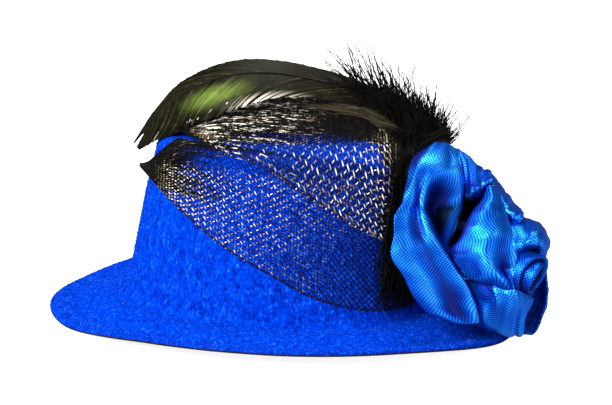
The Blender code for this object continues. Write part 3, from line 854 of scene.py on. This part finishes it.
# Down: the soft black barbs at the feathers' roots, which cling together in pointed locks.
# They stand up behind the rosette, and long single barbs fly off towards the top left.
down_crest = [(0.0215, 0.0030, 0.0715), (0.0288, 0.0030, 0.0675), (0.0345, 0.0030, 0.0637)]
down_crest += [(0.0392, 0.0025, 0.0608), (0.0433, 0.0015, 0.0580), (0.0452, 0.0000, 0.0548)]
down_crest = [Vector(spot) for spot in down_crest]
down_length = 0.0125
down_radius = 0.00010
stray_length = 0.0190
crest_locks = 230
crest_barbs = 18
low_locks = 130
low_barbs = 16
strays = 340
rng = np.random.default_rng(11)


def scattered(spread_x, spread_y, spread_z):
    return Vector((rng.normal(0, spread_x), rng.normal(0, spread_y), rng.normal(0, spread_z)))


def down_way(share, loose):
    """The way that the down stands at a share of its crest: up left at first, up right at last."""
    turn = radians(142 - 70 * share + rng.normal(0, loose))
    return Vector((cos(turn), rng.normal(0, 0.30), sin(turn))).normalized()


def bent_line(start, finish, bend, steps, thickness, tone):
    line = []
    for k in range(steps + 1):
        r = k / steps
        spot = start.lerp(finish, r) + bend * sin(pi * r)
        line.append((spot, thickness * (1.0 - 0.65 * r), tone))
    return line


def down_lines():
    """The barbs of the locks along the crest, of the low locks at the root, and the strays."""
    lines = []
    for lock in range(crest_locks):
        share = rng.random() ** 0.65
        root = spline(down_crest, share) + scattered(0.0014, 0.0022, 0.0010)
        root.z -= abs(rng.normal(0, 0.0024)) * share
        length = down_length * rng.uniform(0.5, 1.2) * (0.24 + 0.44 * sin(pi * share * 0.82))
        tip = root + down_way(share, 16) * length
        for barb in range(crest_barbs):
            start = root + scattered(0.0010, 0.0010, 0.0010)
            finish = tip + scattered(0.0006, 0.0006, 0.0006) + (tip - root) * rng.normal(0, 0.12)
            bend = scattered(0.0004, 0.0004, 0.0004)
            lines.append(bent_line(start, finish, bend, 4, 1.0, rng.random() * 0.4))
    for lock in range(low_locks):
        # One draw is passed over here, so that each lock keeps its place.
        rng.random()
        root = Vector((rng.uniform(0.0300, 0.0455), rng.normal(0.0, 0.0045), rng.uniform(0.0565, 0.0600)))
        tip = root + scattered(0.004, 0.003, 0.0022)
        tip.z = max(tip.z, 0.0500)
        for barb in range(low_barbs):
            start = root + scattered(0.0012, 0.0012, 0.0008)
            finish = tip + scattered(0.0008, 0.0008, 0.0008)
            bend = scattered(0.0004, 0.0004, 0.0004)
            lines.append(bent_line(start, finish, bend, 4, 1.0, rng.random() * 0.4))
    for stray in range(strays):
        share = rng.random()
        start = spline(down_crest, share) + scattered(0.0016, 0.0016, 0.0010)
        way = down_way(share, 20)
        finish = start + way * stray_length * rng.uniform(0.45, 1.2) * (1 - 0.36 * share)
        bend = Vector((rng.normal(0.0004, 0.0008), rng.normal(0, 0.0008), rng.normal(0.0003, 0.0006)))
        lines.append(bent_line(start, finish, bend, 7, 2.8, 0.2))
    return lines


down_blacks = [(0.0, (0.001, 0.001, 0.001)), (1.0, (0.022, 0.020, 0.015))]
down_black = toned_material("down_black", 0.6, 0.03, "shine", down_blacks)
down_mesh = strand_mesh("feather_down", down_lines(), down_radius, down_black)
new_piece("feather_down", down_mesh, down_black, "feather_long")

# Soft barbs: the loose brown lower barbs of both feathers, which lie back over the crown's top
# between the net and the long feather, and hide where the quills are glued.
soft_barb_count = 420
soft_barb_radius = 0.00013
soft_barb_root = Vector((0.0370, 0.0050, 0.0590))
soft_lines = []
for barb in range(soft_barb_count):
    start = soft_barb_root + scattered(0.0022, 0.0022, 0.0012)
    finish = (rng.uniform(0.0020, 0.0280), 0.0075 + rng.normal(0, 0.0025), rng.uniform(0.0595, 0.0670))
    bend = Vector((0.0, rng.normal(0, 0.0010), rng.uniform(0.0005, 0.0030)))
    soft_lines.append(bent_line(start, Vector(finish), bend, 8, 1.0, rng.random()))
soft_browns = [(0.0, (0.014, 0.012, 0.007)), (0.7, (0.055, 0.044, 0.025)), (1.0, (0.150, 0.120, 0.070))]
soft_brown = toned_material("soft_brown", 0.6, 0.15, "shine", soft_browns)
soft_mesh = strand_mesh("soft_barbs", soft_lines, soft_barb_radius, soft_brown)
new_piece("soft_barbs", soft_mesh, soft_brown, "feather_short")

# Rosette: folds of one wide satin ribbon, sewn through the middle and opened out as petals.
# Each petal is a soft double fold with rounded lips, and the last turn is rolled into a bud.
rosette_radius = 0.0300
rosette_depth = 0.0400
rosette_yaw = radians(-33.0)
rosette_pitch = radians(-12.0)
rosette_height = 0.0325
rosette_bearing = radians(-21.5)
satin_wall = 0.0008
crease_depth = 0.0007
petal_steps = (80, 48)
fold_reach = 4
fold_depth = 0.0007
sunk_depth = 0.0125
sunk_radius = 0.0165
sunk_blend = 0.0020
foot_reach = wall_half(rosette_height)
rosette_foot = (foot_reach * cos(rosette_bearing), foot_reach * oval * sin(rosette_bearing))
rosette_foot = Vector((*rosette_foot, rosette_height))
level = cos(rosette_pitch)
rosette_out = Vector((level * cos(rosette_yaw), level * sin(rosette_yaw), sin(rosette_pitch)))
rosette_near = Vector((sin(rosette_yaw), -cos(rosette_yaw), 0.0))
rosette_up = rosette_near.cross(rosette_out)


def rosette_point(bearing, radius, out):
    """A point by bearing round the rosette's axis: 0 is up, 90 degrees the near side."""
    turn = radians(bearing)
    side = rosette_up * cos(turn) + rosette_near * sin(turn)
    return rosette_foot + rosette_out * out * rosette_depth + side * radius * rosette_radius


def four_sides(grid, reach):
    """The sum of each place's four neighbours in a grid, a few steps away."""
    padded = np.pad(grid, ((reach, reach), (reach, reach), (0, 0)), mode="edge")
    ahead_behind = padded[2 * reach:, reach:-reach] + padded[:-2 * reach, reach:-reach]
    return ahead_behind + padded[reach:-reach, 2 * reach:] + padded[reach:-reach, :-2 * reach]


def fold_depths(spots):
    """How far each point of a petal lies in a hollow, above 0, or on a ridge, below 0."""
    around = four_sides(spots, fold_reach) / 4
    out = sheet_normals(spots)
    out = out * np.sign(out @ np.array(rosette_out))[:, :, None]
    return np.clip(((around - spots) * out).sum(axis=2) / fold_depth, -1, 1)


def sunk_shares(spots):
    """Painted shade: 1 deep in the rosette's sewn middle, and 0 on the petals."""
    off = spots - np.array(rosette_foot)
    out = off @ np.array(rosette_out)
    aside = np.linalg.norm(off - out[:, :, None] * np.array(rosette_out), axis=2)
    deep = np.clip((sunk_depth - out) / sunk_blend, 0, 1)
    return deep * np.clip((sunk_radius - aside) / sunk_blend, 0, 1)


def ribbon_mesh(name, rows, folded):
    """A sheet through rows of points, with its own lengths in metres as its UV map."""
    spots = np.array(rows, float)
    along, across = spots.shape[:2]
    faces = []
    for i in range(along - 1):
        for a in range(i * across, (i + 1) * across - 1):
            faces.append((a, a + 1, a + across + 1, a + across))
    depths = fold_depths(spots) if folded else np.zeros((along, across))
    points = [point for row in rows for point in row]
    mesh = skin(name, points, faces, fold=depths, sunk=sunk_shares(spots))
    u = np.zeros((along, across))
    v = np.zeros((along, across))
    u[:, 1:] = np.cumsum(np.linalg.norm(np.diff(spots, axis=1), axis=2), axis=1)
    v[1:] = np.cumsum(np.linalg.norm(np.diff(spots[:, across // 2], axis=0), axis=1))[:, None]
    flat = np.stack([u.ravel(), v.ravel()], axis=1).astype(np.float32)
    corner = np.zeros(len(mesh.loops), np.int32)
    mesh.loops.foreach_get("vertex_index", corner)
    mesh.uv_layers.new(name="ribbon").data.foreach_set("uv", flat[corner].ravel())
    return mesh


# The photograph's own point of view, from which the folds are given.
camera_elevation = radians(13.6)
camera_roll = radians(2.1)
camera_distance = 0.7
camera_target = Vector((0.0055, 0.0, 0.036))
back = Vector((0.0, -cos(camera_elevation), sin(camera_elevation)))
right = Vector((1.0, 0.0, 0.0))
up = back.cross(right)
rolled_right = right * cos(camera_roll) + up * sin(camera_roll)
rolled_up = up * cos(camera_roll) - right * sin(camera_roll)
camera_place = camera_target + back * camera_distance
rosette_middle = rosette_foot + rosette_out * rosette_depth / 2


def seen_point(across, above, near):
    """A place on the line of sight through a point beside the rosette's middle, and nearer by a length."""
    spot = rosette_middle + rolled_right * across + rolled_up * above
    depth = (camera_place - spot).dot(back)
    return spot.lerp(camera_place, near / depth)


def smooth_grid(knots, along, across):
    """Points of a smooth sheet through a net of knots."""
    lines = [np.array([spline(list(row), j / across) for row in knots]) for j in range(across + 1)]
    return np.array([[spline(list(line), i / along) for line in lines] for i in range(along + 1)])


def sheet_normals(grid):
    along = np.gradient(grid, axis=0)
    across = np.gradient(grid, axis=1)
    out = np.cross(along, across)
    return out / np.maximum(np.linalg.norm(out, axis=2, keepdims=True), 1e-12)


def evened(values):
    """A grid of values, each averaged with its neighbours on the four sides, three times over."""
    for times in range(3):
        values = (values + four_sides(values, 1)) / 5
    return values


def petal_rows(knots, along, across, seed):
    """A petal's cloth: the smooth sheet through its folds, with small creases that run across it."""
    knots = np.array([[seen_point(*(np.array(knot) / 1000)) for knot in row] for row in knots])
    grid = smooth_grid(knots, along, across)
    out = evened(sheet_normals(grid))
    creases = np.zeros(grid.shape[:2])
    for i in range(along + 1):
        for j in range(across + 1):
            wide = noise.noise(Vector((i / along * 9, j / across * 2.2, seed * 7.3)))
            small = noise.noise(Vector((i / along * 22, j / across * 5.0, seed * 3.9)))
            creases[i, j] = wide * crease_depth + small * crease_depth * 0.35
    return evened(grid + out * creases[:, :, None]).tolist()


satin_blue, tree, shader = blank_material(
    "satin_blue", {"Roughness": 0.40, "Metallic": 0.8, "Specular Tint": (0.22, 0.35, 1.0)}
)
cloth_place = add_node(tree, "ShaderNodeTexCoord", {})["UV"]
turned = {"Vector": cloth_place, "Rotation": (0.0, 0.0, radians(38))}
turned = add_node(tree, "ShaderNodeMapping", turned)["Vector"]
weave = {"Vector": turned, "Scale": 440.0, "Distortion": 0.2}
twill = add_node(tree, "ShaderNodeTexWave", {**weave, "Detail": 1.0})["Fac"]
weft = add_node(tree, "ShaderNodeTexWave", weave, bands_direction="Y")["Fac"]
woven = math_node(tree, "ADD", product(tree, twill, 0.5), product(tree, weft, 0.5))
# Painted light: the fold value lightens the petals' ridges as highlight and darkens their hollows as shade.
fold = attribute_value(tree, "fold")
weave_and_painted_fold_light = math_node(tree, "SUBTRACT", woven, product(tree, fold, 0.45))
satin_blues = [(0.0, (0.000, 0.005, 0.10)), (0.4, (0.001, 0.046, 0.46))]
satin_blues += [(0.8, (0.006, 0.250, 0.95)), (1.0, (0.080, 0.500, 1.00))]
satin_blues = colour_ramp(tree, product(tree, weave_and_painted_fold_light, 0.8), satin_blues)
# Painted shade in the hollows of the folds.
hollow = spread_out(tree, fold, 0.05, 0.85, to_high=0.62)
shaded = mixed(tree, hollow, satin_blues, (0.014, 0.014, 0.140))
# Painted shade: deep in the sewn middle the satin turns nearly black.
shaded = mixed(tree, attribute_value(tree, "sunk"), shaded, (0.000, 0.001, 0.006))
ribbed = add_node(tree, "ShaderNodeBump", {"Strength": 0.30, "Distance": 0.0002, "Height": woven})
feed(tree, shader, {"Base Color": shaded, "Normal": ribbed["Normal"]})


def satin_piece(name, rows, node, folded=True):
    """A doubled fold of ribbon through its rows of points."""
    mesh = ribbon_mesh(name, rows, folded)
    piece = new_piece(name, mesh, satin_blue, node, wall=satin_wall)


def satin_petal(name, seed, knots):
    satin_piece("satin_" + name, petal_rows(knots, *petal_steps, seed), name)


# Each petal's folds, a row for each place along the ribbon and a column for each fold across it,
# in millimetres right of and above the rosette's middle as seen from the front, and towards it.
satin_petal("petal_near", 0, [
    # lip, belly, hollow, ridge, valley, edge, root
    [(-15, 32, 3), (-13.5, 33.5, 2), (-12.5, 33.5, 1), (-11.5, 33.5, 0),
     (-10.5, 33, -1), (-9.5, 32.5, -2), (-9, 30.5, -5)],
    [(-21, 28, 9), (-18.5, 28.5, 10.5), (-15.5, 28, 11), (-12, 27.5, 10),
     (-9.5, 27.5, 8), (-6.5, 27.5, 5), (-8, 20.5, -6)],
    [(-22.5, 21, 14), (-20.5, 22, 14.5), (-18, 22.5, 13), (-15.5, 23, 13),
     (-11, 23, 10), (-5.5, 22, 6), (-7, 16, -6)],
    [(-24, 15, 17), (-21, 15.5, 16.5), (-19.5, 15.5, 14), (-17.5, 16, 15),
     (-14.5, 15, 6), (-5.5, 17, 5.5), (-8, 11.5, -6)],
    [(-26.5, 11, 19), (-22.5, 11, 18), (-19.5, 11, 15), (-17, 11.5, 15.5),
     (-14, 9.5, 6), (-6.5, 12, 5), (-8.5, 9.5, -6)],
    [(-26.5, 5.5, 19.5), (-22.5, 5.5, 19), (-18.5, 5.5, 16), (-15, 6, 16.5),
     (-12.5, 4.5, 9), (-8.5, 6, 4.5), (-10, 5.5, -5)],
    [(-27.5, -1, 19), (-23, -0.5, 19), (-17, 0, 16.5), (-12, 1, 16),
     (-10.5, 0, 12), (-9.5, 2, 6), (-11, 2, -4)],
    [(-24, -6.5, 18), (-19, -6.5, 18.5), (-13.5, -6.5, 15), (-8, -5.5, 16),
     (-6.5, -7, 13), (-7, -6, 7), (-10.5, -1.5, 0)],
    [(-21, -12.5, 15.5), (-15.5, -12.5, 16.5), (-10, -12, 12.5), (-4, -11.5, 14.5),
     (-3, -12.5, 10), (-4, -11.5, 5), (-9.5, -4, 0)],
    [(-17, -17.5, 13), (-12.5, -18, 14), (-7.5, -17.5, 10.5), (-2, -17.5, 13),
     (-1, -18, 8), (-2.5, -16.5, 3), (-8.5, -6, -2)],
    [(-12, -19.5, 13), (-7.5, -21.5, 11), (-4, -22, 10), (-1, -21.5, 10.5),
     (0, -21, 6), (-1.5, -19.5, 1), (-8, -7, -4)],
])
satin_petal("petal_top", 1, [
    # root, rise, edge, belly, lip, under
    [(-8.5, 9.5, -9), (-8.5, 22, -14), (-10, 32, -9), (-7.5, 26.5, -4), (-7, 18, -1), (-7, 16, -6)],
    [(-7, 9.5, -8), (-5.5, 20.5, -15), (-6.5, 31.5, -10),
     (-4.5, 24.5, 0), (-4.5, 17.5, 3), (-4, 16, -4)],
    [(-5.5, 9.5, -6), (-2.5, 19, -12), (-2.5, 28, -7), (-2.5, 23.5, 2), (-1.5, 19, 6), (-1.5, 17, -2)],
    [(-4, 8.5, -4), (0.5, 17.5, -8), (0.5, 25.5, -3), (0.5, 23, 4), (1, 20.5, 8), (0, 18.5, 0)],
    [(-2.5, 8, -2), (2.5, 17.5, -4), (3, 24.5, 1), (3.5, 23.5, 5), (3.5, 22, 8.5), (2, 20, 2)],
])
satin_petal("petal_far", 2, [
    # root, crest, middle, lip
    [(-12.5, 1, -8), (-9, -6, -7), (-6.5, -12.5, -6.5), (-4.5, -18, -6.5)],
    [(-12.5, 2, -10), (-8, -5, -11.5), (-5.5, -10.5, -14), (-4, -14.5, -16.5)],
    [(-11, 4, -11), (-6.5, 0, -15.5), (-3, -3.5, -22), (-2, -5.5, -26.5)],
    [(-10, 6, -11), (-4.5, 6, -15.5), (-0.5, 7.5, -22), (0, 9.5, -29.5)],
    [(-10, 8.5, -9), (-3.5, 12, -12), (-1.5, 18, -17), (-3.5, 25, -24.5)],
    [(-9.5, 8.5, -7), (-5.5, 17.5, -9), (-4.5, 25, -12), (-7, 30.5, -17)],
])
satin_petal("petal_mid_near", 3, [
    # under, lip, belly, middle, ridge, hollow, crest, root
    [(2, 19, 5), (2, 20, 8), (2.5, 20.5, 8.5), (3, 20.5, 9),
     (3.5, 20, 8.5), (4, 19.5, 8), (4.5, 18.5, 6), (3, 13, 0)],
    [(1, 14, 6), (0.5, 15.5, 11), (1.5, 16, 12.5), (3, 16, 13),
     (4, 15.5, 12.5), (5.5, 15, 11), (6.5, 14, 8), (3.5, 8.5, 0)],
    [(-1, 9.5, 6), (-3.5, 10.5, 12.5), (-1.5, 11, 14.5), (1.5, 11.5, 15.5),
     (4, 11.5, 15), (6.5, 11, 13), (8, 10, 9), (3.5, 5.5, 0)],
    [(-3, 5, 8), (-5.5, 5, 13.5), (-3, 5.5, 16), (0.5, 5.5, 17.5),
     (4, 6, 17.5), (7, 5.5, 15), (9.5, 5, 11), (4, 2.5, 1)],
    [(-5.5, 1.5, 7), (-9.5, 0, 11.5), (-5.5, 0, 15), (-1, 0, 17.5),
     (2.5, 0, 18), (7, 0, 14.5), (11, 0, 12.5), (5, -1, 2)],
    [(-3, -3.5, 4), (-6.5, -5.5, 10.5), (-2.5, -6, 14), (1, -5.5, 17.5),
     (4, -5, 18), (7, -5, 12), (10.5, -5, 13), (5.5, -3, 2)],
    [(0.5, -6, 4), (-1.5, -8.5, 10.5), (1.5, -9.5, 14), (4.5, -8.5, 17),
     (7, -8, 17.5), (8.5, -8.5, 12.5), (10, -9, 13), (6, -5, 2)],
    [(3.5, -7, 4), (3, -11, 10), (5, -11.5, 12.5), (7, -12, 14.5),
     (8.5, -11.5, 14.5), (9.5, -12, 12), (10, -12, 11), (6.5, -6, 2)],
])
satin_petal("petal_mid_top", 4, [
    # root, rise, edge, belly, lip, under
    [(0, 8.5, -5), (1, 16, -14), (2.5, 24.5, -8), (3, 22.5, 1), (3.5, 20, 6), (3, 17.5, 3)],
    [(1.5, 7, -4), (3.5, 14.5, -15), (5.5, 21, -9), (5.5, 19, 2), (6, 16.5, 7), (5.5, 14, 4)],
    [(3.5, 5.5, -3), (6, 12.5, -12), (8.5, 17, -8), (8.5, 15.5, 3), (8, 13, 9), (7.5, 11, 5)],
    [(4.5, 4.5, -2), (8, 10.5, -9), (11, 14, -6), (11, 13, 4), (10.5, 11, 10), (9.5, 9.5, 6)],
    [(5.5, 4, -1), (9, 9.5, -5), (12.5, 12, -1), (13, 11.5, 5), (12.5, 10, 9), (10, 8.5, 6)],
])
satin_petal("petal_inner_top", 5, [
    # root, rise, edge, belly, rim, turn, under
    [(5.5, 4, 0), (7.5, 9.5, 2), (8.5, 11.5, 5), (8.5, 8.5, 9),
     (9.5, 4, 13), (10, 0.5, 13), (11.5, 0, 8)],
    [(6.5, 2.5, -1), (10, 9.5, -1), (12.5, 11, 2), (12.5, 8.5, 8),
     (13.5, 4.5, 13), (12.5, 1.5, 13.5), (13.5, 0.5, 8)],
    [(8, 2, -2), (13.5, 8.5, -4), (15.5, 10, 0), (16, 8.5, 6),
     (16, 6, 12), (15.5, 3, 13), (15, 1.5, 7)],
    [(8.5, 1.5, -3), (15, 6, -5), (18.5, 8, -2), (19, 7, 3), (18.5, 6, 9), (18, 3, 11), (16.5, 1.5, 6)],
    [(9, 0, -3), (15.5, 3, -6), (20.5, 4, -3), (21, 3, 1), (20.5, 2, 5), (18.5, 1, 8), (16.5, 0, 4)],
    [(9, -1, -3), (15, 0, -6), (19.5, 0, -3), (19.5, -1, 0), (19, -2, 3), (17, -2, 5), (15.5, -2.5, 3)],
])
satin_petal("petal_mid_low", 6, [
    # root, behind, crest, belly, fold, lip, under
    [(-4, -3, 0), (-5.5, -8.5, 2.5), (-5.5, -8, 6), (-4, -11, 8.5),
     (-2, -14, 9), (-1.5, -17, 6), (-1.5, -19.5, 3)],
    [(-1.5, -4, 1), (-0.5, -10.5, 6.5), (0, -9.5, 13), (2.5, -13.5, 16),
     (2.5, -15.5, 14), (0.5, -18.5, 12), (0, -21, 7)],
    [(1.5, -5, 1), (3.5, -12, 9), (4, -10.5, 17), (5.5, -14, 18),
     (5, -18, 14), (3.5, -22.5, 9), (3, -23.5, 4)],
    [(4.5, -5.5, 0), (7.5, -13, 9.5), (8.5, -11.5, 18), (9.5, -15, 18),
     (8.5, -19.5, 14), (7.5, -24.5, 8), (7, -24.5, 2)],
    [(7, -5.5, -1), (11, -13.5, 8.5), (12, -12, 16), (12.5, -15.5, 16),
     (11.5, -20, 13), (10.5, -25, 7.5), (10, -25, 1)],
    [(8.5, -5.5, -2), (13, -14, 5), (15, -13.5, 11), (16, -15, 12),
     (14, -19.5, 12), (13, -25, 8), (11.5, -25, 1)],
])
satin_petal("petal_mid_far", 7, [
    # root, crest, middle, lip
    [(7.5, -6, -2), (9.5, -13, 0), (11, -20, 1), (12.5, -25, 3)],
    [(8.5, -6, -3), (11.5, -13.5, -3), (14, -20, -3), (16.5, -24.5, 1)],
    [(9, -5.5, -4), (12.5, -12.5, -6), (16.5, -16.5, -6), (19, -19.5, -1)],
    [(9, -4, -5), (13.5, -9.5, -8), (17.5, -11.5, -8), (20.5, -13, -2)],
    [(9, -3, -5), (13.5, -5.5, -9), (17, -6, -9), (20, -6.5, -3)],
    [(8.5, -1.5, -5), (12.5, -2.5, -9), (16.5, -1.5, -9), (19.5, -1, -4)],
])

# Bud: the end of the same ribbon, rolled up on itself in the middle of the rosette.
# Its turns stand a little apart, and its outer rim leans in and waves.
bud_radius = 0.0076
bud_turns = 1.6
bud_gap = 0.0012
bud_foot = 0.0280
bud_steps = 96
bud_rows = 12
rows = []
for i in range(bud_steps + 1):
    share = i / bud_steps
    bearing = 360 * bud_turns * share
    radius = (bud_radius - (satin_wall + bud_gap) * bud_turns * (1 - share)) / rosette_radius
    foot = bud_foot / rosette_depth
    rim = 1.03 - 0.08 * share + 0.02 * sin(bearing / 40)
    row = []
    for up_it in np.linspace(0, 1, bud_rows):
        row.append(rosette_point(bearing, radius * (0.95 + 0.05 * up_it), foot + (rim - foot) * up_it))
    rows.append(row)
satin_piece("satin_bud", rows, "rosette_bud", folded=False)

# Stump: the ribbon's sewn edges, wound tight with thread in the middle of the rosette.
# It joins the petals and the bud to the felt, and is painted nearly black among them, as shade.
stump_radius = 0.0040
stump_rings = 40
stump_sides = 32
points, faces = [], []
for i in range(stump_rings + 1):
    out = -0.05 + 0.85 * i / stump_rings
    for j in range(stump_sides):
        ridge = 1 - 0.10 * abs(sin(j * tau / 64 * 7 + i * 0.35))
        points.append(rosette_point(j * 360 / stump_sides, stump_radius * ridge / rosette_radius, out))
for base in range(0, stump_rings * stump_sides, stump_sides):
    for j in range(stump_sides):
        k = (j + 1) % stump_sides
        faces.append((base + j, base + k, base + stump_sides + k, base + stump_sides + j))
faces.append(tuple(range(stump_sides - 1, -1, -1)))
faces.append(tuple(range(stump_rings * stump_sides, len(points))))
# The stump takes the full painted shade of the sewn middle.
stump_mesh = skin("satin_stump", points, faces, sunk=[1.0] * len(points))
new_piece("satin_stump", stump_mesh, satin_blue, "rosette_stump")

# Stage: a plain pale floor that looks as white as the studio round it, four large soft lights,
# and the camera at the photograph's own point of view.
floor_reach = 6.0
floor_white, tree, shader = blank_material(
    "floor_white", {"Roughness": 0.9, "Emission Color": (1, 1, 1), "Specular IOR Level": 0.0}
)
seen = add_node(tree, "ShaderNodeLightPath", {})["Is Camera Ray"]
whiteness = mixed(tree, seen, (0.40, 0.40, 0.40), (0.70, 0.70, 0.70))
glow = spread_out(tree, seen, 0.0, 1.0, 0.05, 0.90)
feed(tree, shader, {"Base Color": whiteness, "Emission Strength": glow})
corners = [(x * floor_reach, y * floor_reach, 0) for x, y in ((-1, -1), (1, -1), (1, 1), (-1, 1))]
shown("floor", skin("floor", corners, [(0, 1, 2, 3)]), floor_white)

world = bpy.data.worlds.new("studio")
bpy.context.scene.world = world
world.use_nodes = True
studio = {"Color": (1, 1, 1), "Strength": 0.16}
feed(world.node_tree, world.node_tree.nodes["Background"], studio)

hat_middle = Vector((0.01, 0.0, 0.035))
for name, spot, size, power in (
    ("key", (-0.50, -0.80, 0.60), (0.40, 0.40), 24.0),
    ("left", (-0.90, -0.35, 0.50), (0.20, 0.40), 8.0),
    ("fill", (0.80, -0.55, 0.30), (0.15, 0.30), 2.5),
    ("top", (0.05, 0.15, 1.10), (0.5, 0.4), 13.0),
):
    lamp = bpy.data.lights.new(name, "AREA")
    lamp.shape = "RECTANGLE"
    lamp.size, lamp.size_y = size
    lamp.energy = power
    light = bpy.data.objects.new(name, lamp)
    light.location = spot
    light.rotation_euler = (hat_middle - Vector(spot)).to_track_quat("-Z", "Y").to_euler()
    bpy.context.scene.collection.objects.link(light)

lens = bpy.data.cameras.new("camera")
lens.sensor_width = 36.0
lens.lens = 2220.0 * 36.0 / 612.0
camera = bpy.data.objects.new("camera", lens)
axes = Matrix((rolled_right, rolled_up, back)).transposed().to_4x4()
camera.matrix_world = Matrix.Translation(camera_place) @ axes
bpy.context.scene.collection.objects.link(camera)
bpy.context.scene.camera = camera
bpy.context.scene.view_settings.view_transform = "Standard"
